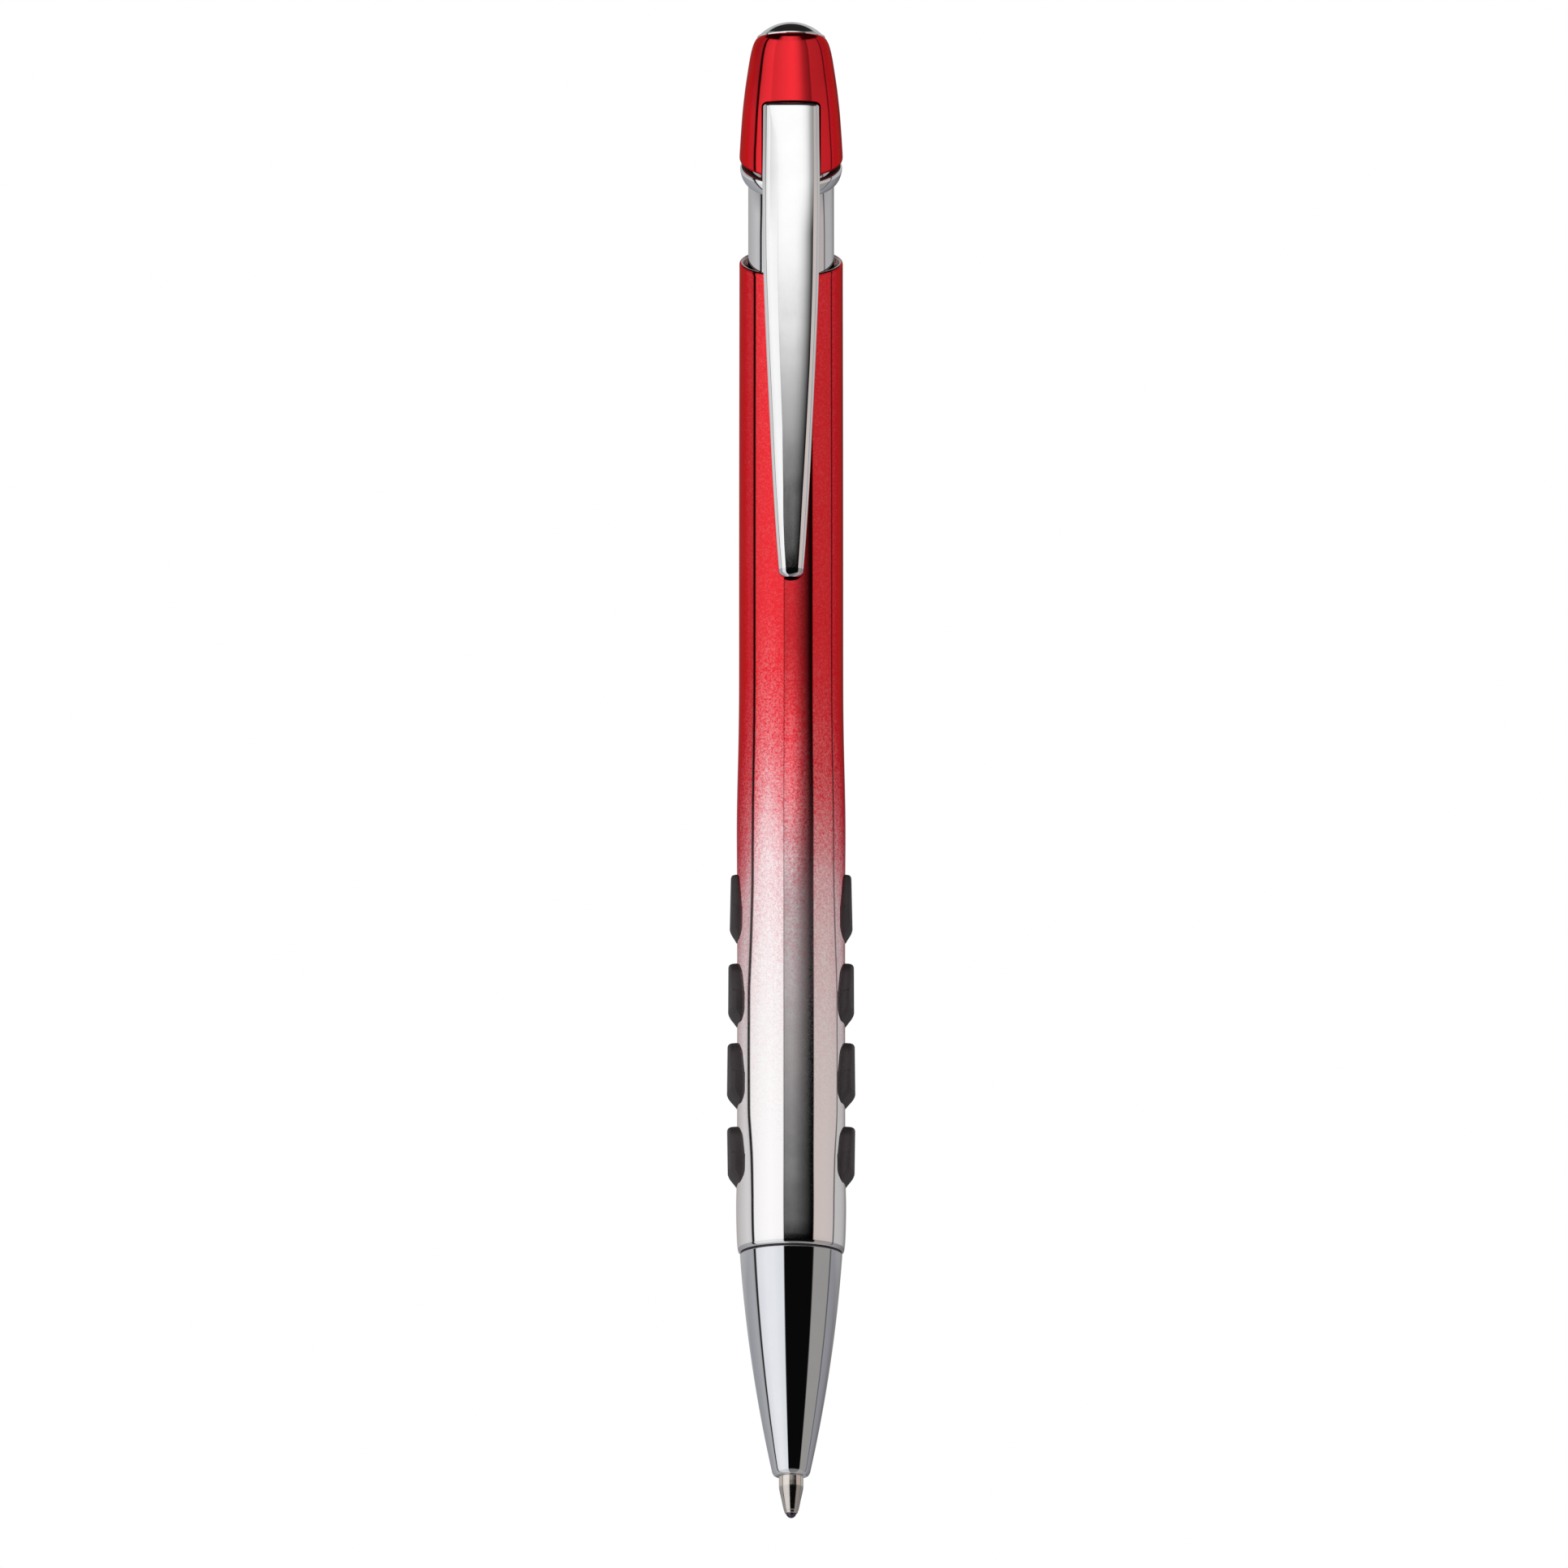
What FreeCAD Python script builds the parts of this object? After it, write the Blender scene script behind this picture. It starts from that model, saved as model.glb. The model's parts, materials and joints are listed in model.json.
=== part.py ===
import FreeCAD, Part
import math
import os
import Sketcher
from FreeCAD import Placement, Rotation, Vector

# A retractable ballpoint pen, in millimetres.  It stands upright on its
# point: the pen's axis is Z, the tip of the writing ball is at the origin
# and the clip is on the -Y side.  It is in the writing pose, point out.
# A "radius" or a "bore" is measured from the axis, a "level" along Z.

SIZES = {
    # refill: ball and point
    "ball_radius": 0.49, "ball_gap": 0.02, "socket_rise": 0.25,
    "lip_mouth": 0.47, "lip_radius": 0.61, "lip_level": 0.42,
    "lip_flare": 0.09, "lip_height": 0.30,
    "point_radius": 1.15, "point_cone_top": 2.88, "point_shoulder": 11.6,
    "point_spigot_radius": 0.93, "point_top": 17.0,
    "ink_duct_radius": 0.30, "ink_duct_gap": 0.12,
    # refill: tube, ink and plug
    "refill_radius": 1.5, "refill_bore": 0.95, "refill_end": 106.8, "refill_foot_gap": 0.02,
    "stop_radius": 1.95, "stop_level": 24.2, "stop_height": 0.8, "stop_taper": 0.35,
    "fill_gap": 0.01, "ink_foot_gap": 0.1, "ink_top": 96.0, "ink_crown": 0.4,
    "plug_length": 3.0, "plug_vent": 0.3,
    # return spring
    "spring_mean_radius": 1.78, "spring_wire": 0.18, "spring_coils": 9.0, "spring_gap": 0.02,
    # nose cone
    "mouth_level": 3.99, "mouth_bore": 1.23, "mouth_bevel_width": 0.10,
    "mouth_bevel_height": 0.12, "mouth_lip_radius": 1.42, "mouth_lip_arc": 0.42,
    "nose_start_radius": 1.70, "nose_start_level": 4.22,
    "nose_top_radius": 4.80, "nose_top_level": 25.17, "nose_ogive": 142.37,
    "nose_bore": 2.1, "nose_bore_height": 4.6, "nose_bore_taper": 1.4,
    "nose_bore_step": 0.6, "nose_seat_level": 9.5,
    "spigot_radius": 3.95, "spigot_top": 33.0,
    "spigot_bevel_width": 0.4, "spigot_bevel_height": 0.5,
    # seal ring
    "ring_radius": 4.76, "ring_thick": 0.14, "ring_gap": 0.03,
    "ring_foot_gap": 0.01, "ring_inner_rise": 0.005,
    # barrel, from the foot up
    "barrel_bore": 4.45, "barrel_start": 25.35,
    "barrel_foot_radius": 4.90, "foot_arc": 0.75,
    "foot_inset": 0.085, "foot_height": 0.85, "foot_side_arc": 14.0,
    "belly_radius": 5.165, "belly_level": 29.4, "belly_arc": 46.0,
    "waist_radius": 5.075, "waist_low": 36.0, "waist_high": 59.0,
    "swell_radius": 5.115, "swell_level": 65.0,
    "swell_below": 1.8, "swell_above": 1.6, "swell_arc": 30.0,
    "shaft_radius": 4.895, "shaft_level": 78.0, "shaft_length": 20.0,
    "rim_radius": 4.855, "rim_level": 120.1, "rim_slope": 25.2, "rim_spare": 6.0,
    # grips; the angles are in degrees either side of the X axis
    "grip_inner": 3.98, "grip_outer": 4.40,
    "grip_half_angle": 24.0, "grip_top_half_angle": 15.0, "strip_half_angle": 34.0,
    "strip_low": 29.0, "strip_high": 63.6,
    "pad_gap": 0.02, "pad_root": 0.1, "pad_foot_step": 0.10,
    "pad_one_radius": 5.84, "pad_two_radius": 5.93,
    "pad_three_radius": 6.05, "pad_four_radius": 6.0,
    # thread bush and guide bush
    "bush_gap": 0.02, "thread_gap": 0.06, "bush_foot_gap": 0.12,
    "bush_top_gap": 0.05, "bush_top_step": 0.38,
    "guide_bush_low": 107.5, "guide_bush_top": 116.6, "slide_gap": 0.03,
    "guide_bevel_width": 0.12, "guide_bevel_height": 0.4,
    # cam guide
    "cam_flange_low": 88.0, "cam_flange_top": 96.0,
    "cam_bevel_width": 0.3, "cam_bevel_height": 0.6, "cam_shoulder": 0.6,
    "cam_sleeve_radius": 3.5, "cam_top": 117.0, "cam_bore": 3.0,
    "cam_entry_bore": 2.3, "cam_bore_drop": 3.0, "cam_entry_drop": 4.0,
    "cam_rib_radius": 2.62, "cam_rib_low": 113.0, "cam_rib_top": 116.9,
    "cam_rib_width": 1.7, "cam_rib_slope": 0.9, "cam_rib_overlap": 0.4,
    "rib_bore_below": 0.6, "rib_bore_above": 0.3,
    # rotor
    "rotor_low": 105.3, "rotor_skirt": 2.15, "rotor_seat": 106.82,
    "rotor_gap": 0.04, "rotor_body_top": 111.4,
    "rotor_fin_radius": 2.55, "rotor_fin_width": 1.1,
    "rotor_fin_rise": 1.6, "rotor_fin_slope": 0.6,
    "rotor_pin_radius": 0.9, "rotor_pin_top": 115.2,
    "pin_bevel_width": 0.25, "pin_bevel_height": 0.3,
    "rotor_notch_depth": 0.55, "rotor_notch_half": 0.75,
    # push rod
    "crown_low": 112.4, "crown_tooth": 0.75, "crown_notch_half": 0.7,
    "rod_radius": 2.1, "rod_bore": 1.0, "rod_bore_top": 117.0, "rod_bore_cone": 0.5,
    "rod_bore_below": 0.1,
    "rod_lug_radius": 2.85, "rod_lug_low": 113.6, "rod_lug_top": 116.4,
    "rod_lug_width": 1.5, "rod_top": 133.0,
    "notch_over": 0.05, "notch_length": 10.0,
    # plunger tube and collar
    "tube_radius": 4.03, "tube_wall": 0.38, "tube_low": 110.0, "tube_top": 130.6,
    "tube_bevel_width": 0.1, "tube_bevel_height": 0.2,
    "collar_level": 127.75, "collar_slope": 29.6, "collar_radius": 4.80,
    "collar_height": 1.72, "collar_gap": 0.01,
    "collar_blank_low": 121.0, "collar_blank_top": 137.0,
    # cap shell
    "cap_slope": 29.8, "cap_level": 129.85,
    "cap_foot_radius": 4.88, "cap_foot_level": 126.6,
    "cap_neck_radius": 4.13, "cap_neck_level": 138.0, "cap_side_arc": 72.7,
    "cap_top_radius": 3.27, "cap_top_level": 141.3, "cap_shoulder_arc": 8.68,
    "cap_wall": 0.45, "cap_top_wall": 0.6, "cap_top_inset": 0.55, "cap_neck_drop": 0.1,
    "cap_top_hole": 2.0,
    "slot_width": 5.60, "slot_top": 134.25, "slot_corner": 0.45, "slot_depth": 7.0,
    # cap core
    "core_bore": 2.12, "core_low": 130.7, "core_top": 139.6,
    "core_foot_radius": 4.28, "core_top_radius": 2.9,
    "core_stud_gap": 0.03, "core_rod_gap": 0.02, "core_edge_gap": 0.1,
    "pocket_half_width": 2.75, "pocket_top": 134.4, "pocket_start": 2.9, "pocket_depth": 7.0,
    "nut_seat_gap": 0.02, "nut_seat_depth": 5.0, "nut_corner_gap": 0.03,
    # finial and nut
    "dome_radius": 3.2, "dome_base": 141.34, "dome_rise": 142.95, "dome_arc": 4.18,
    "stud_radius": 1.0, "stud_low": 133.4, "stud_bevel": 0.2,
    "nut_low": 136.6, "nut_top": 138.4, "nut_flats": 3.4,
    "nut_bore_gap": 0.02, "nut_bore_over": 0.2,
    # clip
    "clip_top_level": 134.1, "clip_end_level": 88.6, "clip_mid_level": 112.0,
    "clip_half_top": 2.64, "clip_half_mid": 2.62, "clip_half_low": 1.13,
    "clip_bulge": 0.06, "clip_top_corner": 0.42,
    "clip_end_bevel_width": 0.4, "clip_end_bevel_height": 0.45,
    "clip_depth": 1.05, "clip_wall": 0.45, "clip_blank_width": 5.6,
    "clip_front_length": 20.0, "hollow_over": 0.3, "hollow_end": 90.2,
    "nub_radius": 0.55, "nub_height": 1.0, "nub_level": 91.3, "nub_gap": 0.02,
}

# Grip pads, top one first: low level, high level, outer radius, half angle.
PADS = [
    (55.1, 61.4, "pad_one_radius", "grip_top_half_angle"),
    (47.1, 52.9, "pad_two_radius", "grip_half_angle"),
    (39.3, 45.3, "pad_three_radius", "grip_half_angle"),
    (31.7, 37.3, "pad_four_radius", "grip_half_angle"),
]
# Rounding of a pad's edges: inset from its outer radius, and height above
# its low level or depth below its high level.
PAD_LOW_EDGE = [(0.12, 0.95), (0.0, 1.5)]
PAD_HIGH_EDGE = [(0.0, 1.0), (0.10, 0.35), (0.42, 0.0)]

# Side of the cap core between its foot and its top: radius, level.
CORE_SIDE = [(4.16, 133.0), (3.92, 135.6), (3.55, 138.0)]

# Outer face of the clip, from the root down to the end: y, z.
CLIP_FACE = [
    (-4.72, 134.1), (-5.08, 132.0), (-5.55, 129.0), (-5.98, 125.5), (-6.28, 121.0),
    (-6.40, 116.0), (-6.40, 110.0), (-6.32, 103.0), (-6.20, 96.0), (-6.10, 88.6),
]
# Inner face of the clip's root, going up: y, z.
CLIP_ROOT_BACK = [(-3.75, 132.0), (-3.55, 134.1)]
# The hollow starts this many stations down the clip's face.
HOLLOW_FIRST = 2
# Half of the hollow's front outline, going up: x, z.
HOLLOW_HALF = [(0.75, 90.0), (1.32, 98.2), (1.95, 112.0), (2.2, 120.0), (2.2, 129.5)]

# A sloped cut reaches this far either side of the axis, this far along Z
# beyond its plane, and is this wide across.
SLOPE_REACH, SLOPE_FAR, CUT_WIDTH = 8.0, 40.0, 30.0
# Every cut takes away at least this volume, in cubic millimetres.
LEAST_CUT = 0.01
RIGHT = "right"  # marks an arc whose centre is on the right of its edge

os.makedirs("parts", exist_ok=True)
doc = FreeCAD.newDocument("retractable_pen")
sheet = doc.addObject("Spreadsheet::Sheet", "sizes")
for row, (alias, amount) in enumerate(SIZES.items(), start=1):
    sheet.set("A%d" % row, alias)
    sheet.set("B%d" % row, repr(amount))
    sheet.setAlias("B%d" % row, alias)
doc.recompute()


# ------------------------------------------------------------------ sizes
class Size:
    """A number together with the sheet expression that gives it."""

    def __init__(self, text, value):
        self.text = text
        self.value = value

    def _join(self, sign, other, rule):
        other = size(other)
        text = "(%s %s %s)" % (self.text, sign, other.text)
        return Size(text, rule(self.value, other.value))

    def __add__(self, other):
        return self._join("+", other, float.__add__)

    def __sub__(self, other):
        return self._join("-", other, float.__sub__)

    def __mul__(self, other):
        return self._join("*", other, float.__mul__)

    def __truediv__(self, other):
        return self._join("/", other, float.__truediv__)

    def __neg__(self):
        return self * -1.0

    @property
    def driven(self):
        return "sizes." in self.text


class Dimensions:
    """The sheet's dimensions: dim.alias is a Size."""

    def __getattr__(self, alias):
        return Size("sizes." + alias, float(SIZES[alias]))


dim = Dimensions()


def size(value):
    if isinstance(value, Size):
        return value
    return Size("%r" % float(value), float(value))


def sine(angle):
    return Size("sin(%s * 1deg)" % angle.text, math.sin(math.radians(angle.value)))


def tangent(angle):
    return Size("tan(%s * 1deg)" % angle.text, math.tan(math.radians(angle.value)))


def root(value):
    return Size("sqrt(%s)" % value.text, math.sqrt(value.value))


def bind(target, name, value):
    """Drives a property or a constraint from the sheet."""
    if value.driven:
        target.setExpression(name, value.text)


# --------------------------------------------------------------- outlines
def rectangle(left, low, right, high):
    return [(left, low), (right, low), (right, high), (left, high)]


def centred(width, low, high):
    half = width * 0.5
    return rectangle(-half, low, half, high)


def mirrored(half_outline):
    """Closes the right half of an outline, given from the foot up, with
    its mirror image.  An arc is carried by the point its edge leaves."""
    outline = list(half_outline)
    for i in reversed(range(len(half_outline))):
        x, y = half_outline[i][:2]
        arc = half_outline[i - 1][2:] if i else ()
        outline.append((-size(x), y) + tuple(arc))
    return outline


def arc_edge(start, end, radius, centre_right):
    """The arc, and which of its ends are the edge's start and end."""
    chord = end - start
    half = chord.Length / 2
    rise = math.sqrt(max(radius * radius - half * half, 0.0))
    normal = Vector(-chord.y, chord.x, 0).normalize()
    centre = (start + end) * 0.5 + normal * (-rise if centre_right else rise)
    start_angle = math.atan2(start.y - centre.y, start.x - centre.x)
    end_angle = math.atan2(end.y - centre.y, end.x - centre.x)
    circle = Part.Circle(centre, Vector(0, 0, 1), radius)
    if centre_right:
        return Part.ArcOfCircle(circle, end_angle, start_angle), 2, 1
    return Part.ArcOfCircle(circle, start_angle, end_angle), 1, 2


def draw(sketch, points):
    """A closed, fully constrained outline.  Each point is (x, y),
    (x, y, radius) or (x, y, radius, RIGHT); the radius makes the edge that
    leaves the point an arc, with its centre on the left unless RIGHT."""
    corners = [Vector(size(point[0]).value, size(point[1]).value, 0) for point in points]
    edges = []
    for i, point in enumerate(points):
        start, end = corners[i], corners[(i + 1) % len(points)]
        if len(point) > 2:
            curve, first, last = arc_edge(start, end, size(point[2]).value, RIGHT in point[3:])
        else:
            curve, first, last = Part.LineSegment(start, end), 1, 2
        edges.append((sketch.addGeometry(curve, False), first, last))

    for i, (edge, first, last) in enumerate(edges):
        following = edges[(i + 1) % len(edges)]
        sketch.addConstraint(
            Sketcher.Constraint("Coincident", edge, last, following[0], following[1])
        )
    for (edge, first, last), point in zip(edges, points):
        for kind, axis, value in (("DistanceX", -2, point[0]), ("DistanceY", -1, point[1])):
            value = size(value)
            if abs(value.value) < 1e-9:
                sketch.addConstraint(Sketcher.Constraint("PointOnObject", edge, first, axis))
                continue
            index = sketch.addConstraint(
                Sketcher.Constraint(kind, -1, 1, edge, first, value.value)
            )
            bind(sketch, "Constraints[%d]" % index, value)
        if len(point) > 2:
            radius = size(point[2])
            index = sketch.addConstraint(Sketcher.Constraint("Radius", edge, radius.value))
            bind(sketch, "Constraints[%d]" % index, radius)


# --------------------------------------------------------------- features
def new_body(name):
    body = doc.addObject("PartDesign::Body", name)
    body.Label = name
    return body


def origin_feature(body, role):
    return next(item for item in body.Origin.OriginFeatures if item.Role == role)


def new_sketch(body, name, plane, points):
    sketch = body.newObject("Sketcher::SketchObject", name)
    sketch.AttachmentSupport = [(origin_feature(body, plane), "")]
    sketch.MapMode = "FlatFace"
    draw(sketch, points)
    return sketch


def volume(body):
    doc.recompute()
    return body.Shape.Volume


def require_cut(body, name, before):
    if volume(body) > before - LEAST_CUT:
        raise RuntimeError("%s cuts nothing" % name)


def turn(body, name, points, angle=None, cut=False):
    """A turned feature: the outline on XZ, revolved about Z.  A part turn
    of the given angle is centred on the outline."""
    before = volume(body) if cut else None
    sketch = new_sketch(body, name + "_profile", "XZ_Plane", points)
    feature = body.newObject("PartDesign::Groove" if cut else "PartDesign::Revolution", name)
    feature.Profile = sketch
    feature.ReferenceAxis = (sketch, ["V_Axis"])
    if angle is None:
        feature.Angle = 360.0
    else:
        feature.Angle = angle.value
        feature.Midplane = True
        bind(feature, "Angle", angle)
    if cut:
        require_cut(body, name, before)
    return feature


def block(body, name, plane, points, length, cut=False, mid=True, reverse=False, start=None):
    """A pad or a pocket from an outline on an origin plane, or on a plane
    moved by start along that plane's normal (-Y for XZ_Plane)."""
    before = volume(body) if cut else None
    sketch = new_sketch(body, name + "_profile", plane, points)
    if start is not None:
        bind(sketch, "AttachmentOffset.Base.z", start)
    feature = body.newObject("PartDesign::Pocket" if cut else "PartDesign::Pad", name)
    feature.Profile = sketch
    length = size(length)
    feature.Length = length.value
    bind(feature, "Length", length)
    feature.Midplane = mid
    if reverse:
        feature.Reversed = True
    if cut:
        require_cut(body, name, before)
    return feature


def four_around(body, name, feature):
    """The feature repeated at quarter turns about Z."""
    pattern = body.newObject("PartDesign::PolarPattern", name)
    pattern.Originals = [feature]
    pattern.Axis = (origin_feature(body, "Z_Axis"), [""])
    pattern.Angle = 360.0
    pattern.Occurrences = 4
    body.Tip = pattern


def slope_cut(body, name, level, slope, above):
    """Cuts all above or below the plane z = level + y * tan(slope), which
    is lowest on the clip side."""
    rise = tangent(slope) * SLOPE_REACH
    far = SLOPE_FAR if above else -SLOPE_FAR
    points = [
        (-SLOPE_REACH, level - rise),
        (SLOPE_REACH, level + rise),
        (SLOPE_REACH, level + far),
        (-SLOPE_REACH, level + far),
    ]
    block(body, name, "YZ_Plane", points, CUT_WIDTH, cut=True)


def turned_body(name, points):
    body = new_body(name)
    turn(body, name + "_turned", points)
    return body


# ----------------------------------------------------------------- refill
def refill_ball():
    """Writing ball, held in the point's rolled lip."""
    ball = doc.addObject("Part::Sphere", "refill_ball")
    ball.Label = "refill_ball"
    bind(ball, "Radius", dim.ball_radius)
    bind(ball, "Placement.Base.z", dim.ball_radius)
    return ball


def refill_point():
    """Rolled lip, cone, shank, and the spigot pressed into the tube."""
    socket = dim.ball_radius + dim.ball_gap
    return turned_body("refill_point", [
        (dim.lip_mouth, dim.lip_level),
        (dim.lip_radius, dim.lip_level),
        (dim.lip_radius + dim.lip_flare, dim.lip_level + dim.lip_height),
        (dim.point_radius, dim.point_cone_top),
        (dim.point_radius, dim.point_shoulder),
        (dim.point_spigot_radius, dim.point_shoulder),
        (dim.point_spigot_radius, dim.point_top),
        (dim.ink_duct_radius, dim.point_top),
        (dim.ink_duct_radius, dim.ball_radius * 2.0 + dim.ink_duct_gap),
        (socket, dim.ball_radius + dim.socket_rise),
        (socket, socket),
    ])


def refill_tube():
    """Tube with the rolled stop that the return spring bears on."""
    foot = dim.point_shoulder + dim.refill_foot_gap
    stop_top = dim.stop_level + dim.stop_height
    return turned_body("refill_tube", [
        (dim.refill_bore, foot),
        (dim.refill_radius, foot),
        (dim.refill_radius, dim.stop_level),
        (dim.stop_radius, dim.stop_level),
        (dim.stop_radius, stop_top),
        (dim.refill_radius, stop_top + dim.stop_taper),
        (dim.refill_radius, dim.refill_end),
        (dim.refill_bore, dim.refill_end),
    ])


def ink_column():
    radius = dim.refill_bore - dim.fill_gap
    foot = dim.point_top + dim.ink_foot_gap
    return turned_body("ink_column", [
        (0.0, foot),
        (radius, foot),
        (radius, dim.ink_top - dim.ink_crown),
        (0.0, dim.ink_top),
    ])


def refill_plug():
    """Vented plug in the tube's upper end."""
    return turned_body("refill_plug", rectangle(
        dim.plug_vent, dim.refill_end - dim.plug_length,
        dim.refill_bore - dim.fill_gap, dim.refill_end,
    ))


def return_spring():
    """Spring between the seat in the nose cone and the refill's stop."""
    start = dim.nose_seat_level + dim.spring_wire + dim.spring_gap
    height = (
        dim.stop_level - dim.nose_seat_level - dim.spring_wire * 2.0 - dim.spring_gap * 2.0
    )
    helix = doc.addObject("Part::Helix", "spring_path")
    bind(helix, "Radius", dim.spring_mean_radius)
    bind(helix, "Height", height)
    bind(helix, "Pitch", height / dim.spring_coils)
    bind(helix, "Placement.Base.z", start)
    section = doc.addObject("Part::Circle", "spring_wire_round")
    bind(section, "Radius", dim.spring_wire)
    section.Placement = Placement(
        Vector(dim.spring_mean_radius.value, 0, start.value), Rotation(Vector(1, 0, 0), 90)
    )
    bind(section, "Placement.Base.x", dim.spring_mean_radius)
    bind(section, "Placement.Base.z", start)
    spring = doc.addObject("Part::Sweep", "return_spring")
    spring.Label = "return_spring"
    spring.Sections = [section]
    doc.recompute()  # the helix needs its edge before it can be a spine
    spring.Spine = (helix, ["Edge1"])
    spring.Solid = True
    spring.Frenet = True
    return spring


# -------------------------------------------------------------- nose cone
def nose_cone():
    """Ogive nose with the spring's seat inside and a spigot on top."""
    wide_bore = dim.nose_bore + dim.nose_bore_step
    bore_top = dim.nose_seat_level + dim.nose_bore_height
    return turned_body("nose_cone", [
        (dim.mouth_bore, dim.mouth_level + dim.mouth_bevel_height),
        (dim.mouth_bore + dim.mouth_bevel_width, dim.mouth_level),
        (dim.mouth_lip_radius, dim.mouth_level, dim.mouth_lip_arc),
        (dim.nose_start_radius, dim.nose_start_level, dim.nose_ogive),
        (dim.nose_top_radius, dim.nose_top_level),
        (dim.spigot_radius, dim.nose_top_level),
        (dim.spigot_radius, dim.spigot_top - dim.spigot_bevel_height),
        (dim.spigot_radius - dim.spigot_bevel_width, dim.spigot_top),
        (wide_bore, dim.spigot_top),
        (wide_bore, bore_top + dim.nose_bore_taper),
        (dim.nose_bore, bore_top),
        (dim.nose_bore, dim.nose_seat_level),
        (dim.mouth_bore, dim.nose_seat_level),
    ])


def nose_seal_ring():
    """Thin ring around the nose cone's spigot."""
    bore = dim.spigot_radius + dim.ring_gap
    foot = dim.nose_top_level + dim.ring_foot_gap
    return turned_body("nose_seal_ring", [
        (bore, foot + dim.ring_inner_rise),
        (dim.ring_radius, foot),
        (dim.ring_radius, foot + dim.ring_thick),
        (bore, foot + dim.ring_thick),
    ])


# ----------------------------------------------------------------- barrel
def barrel():
    """Barrel with a sloped rim and windows through both sides for the pads."""
    blank_top = dim.rim_level + dim.rim_spare
    body = turned_body("barrel", [
        (dim.barrel_bore, dim.barrel_start),
        (dim.barrel_foot_radius, dim.barrel_start, dim.foot_arc),
        (dim.belly_radius - dim.foot_inset, dim.barrel_start + dim.foot_height,
         dim.foot_side_arc),
        (dim.belly_radius, dim.belly_level, dim.belly_arc),
        (dim.waist_radius, dim.waist_low),
        (dim.waist_radius, dim.waist_high),
        (dim.swell_radius, dim.swell_level - dim.swell_below, dim.swell_arc),
        (dim.swell_radius, dim.swell_level + dim.swell_above),
        (dim.shaft_radius, dim.shaft_level),
        (dim.shaft_radius, dim.shaft_level + dim.shaft_length),
        (dim.rim_radius, blank_top),
        (dim.barrel_bore, blank_top),
    ])
    slope_cut(body, "rim_cut", dim.rim_level, dim.rim_slope, above=True)
    for i, (low, high, _, half_angle) in enumerate(PADS, start=1):
        half_width = dim.belly_radius * sine(getattr(dim, half_angle)) + dim.pad_gap
        window = rectangle(
            -half_width, size(low) - dim.pad_gap, half_width, size(high) + dim.pad_gap
        )
        block(body, "window_%d" % i, "YZ_Plane", window, CUT_WIDTH, cut=True)
    return body


def grip_strip(name, side):
    """Rubber grip: a curved strip inside the barrel wall and four pads that
    stand out through the windows.  Side is 1 on +X, -1 on -X."""
    body = new_body(name)
    strip = rectangle(
        dim.grip_inner * side, dim.strip_low, dim.grip_outer * side, dim.strip_high
    )
    turn(body, name + "_strip", strip, angle=dim.strip_half_angle * 2.0)
    pad_root = dim.grip_outer - dim.pad_root
    for i, (low, high, outer_name, half_angle) in enumerate(PADS, start=1):
        outer = getattr(dim, outer_name)
        outline = [(pad_root, low), (dim.waist_radius + dim.pad_foot_step, low)]
        outline += [(outer - inset, low + rise) for inset, rise in PAD_LOW_EDGE]
        outline += [(outer - inset, high - drop) for inset, drop in PAD_HIGH_EDGE]
        outline.append((pad_root, high))
        points = [(x * side, z) for x, z in outline]
        turn(body, name + "_pad_%d" % i, points, angle=getattr(dim, half_angle) * 2.0)
    return body


def thread_bush():
    """Plain bush in the foot of the barrel, around the nose cone's spigot."""
    bore = dim.spigot_radius + dim.thread_gap
    outer = dim.barrel_bore - dim.bush_gap
    foot = dim.barrel_start + dim.bush_foot_gap
    top = dim.strip_low - dim.bush_top_gap
    return turned_body("thread_bush", [
        (bore, foot),
        (outer, foot),
        (outer, top),
        (dim.grip_inner + dim.bush_top_step, top),
        (bore, top),
    ])


def guide_bush():
    """Plastic bush that the plunger tube slides in."""
    bore = dim.tube_radius + dim.slide_gap
    outer = dim.barrel_bore - dim.bush_gap
    return turned_body("guide_bush", [
        (bore, dim.guide_bush_low),
        (outer, dim.guide_bush_low),
        (outer, dim.guide_bush_top),
        (bore + dim.guide_bevel_width, dim.guide_bush_top),
        (bore, dim.guide_bush_top - dim.guide_bevel_height),
    ])


# ---------------------------------------------------------- cam mechanism
def cam_guide():
    """Fixed cam sleeve: flange seated in the barrel, sleeve with four ribs."""
    flange = dim.barrel_bore - dim.bush_gap
    body = turned_body("cam_guide", [
        (dim.cam_entry_bore, dim.cam_flange_low),
        (flange - dim.cam_bevel_width, dim.cam_flange_low),
        (flange, dim.cam_flange_low + dim.cam_bevel_height),
        (flange, dim.cam_flange_top),
        (dim.cam_sleeve_radius, dim.cam_flange_top + dim.cam_shoulder),
        (dim.cam_sleeve_radius, dim.cam_top),
        (dim.cam_bore, dim.cam_top),
        (dim.cam_bore, dim.rotor_low - dim.cam_bore_drop),
        (dim.cam_entry_bore, dim.rotor_low - dim.cam_entry_drop),
    ])
    # bars right across the bore, opened afterwards to leave the ribs
    half = dim.cam_rib_width * 0.5
    outline = [
        (-half, dim.cam_rib_low + dim.cam_rib_slope),
        (half, dim.cam_rib_low),
        (half, dim.cam_rib_top),
        (-half, dim.cam_rib_top),
    ]
    length = dim.cam_bore * 2.0 + dim.cam_rib_overlap
    rib = block(body, "cam_rib", "YZ_Plane", outline, length)
    four_around(body, "cam_ribs", rib)
    opening = rectangle(
        0.0, dim.cam_rib_low - dim.rib_bore_below,
        dim.cam_rib_radius, dim.cam_rib_top + dim.rib_bore_above,
    )
    turn(body, "cam_rib_bore", opening, cut=True)
    return body


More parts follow.
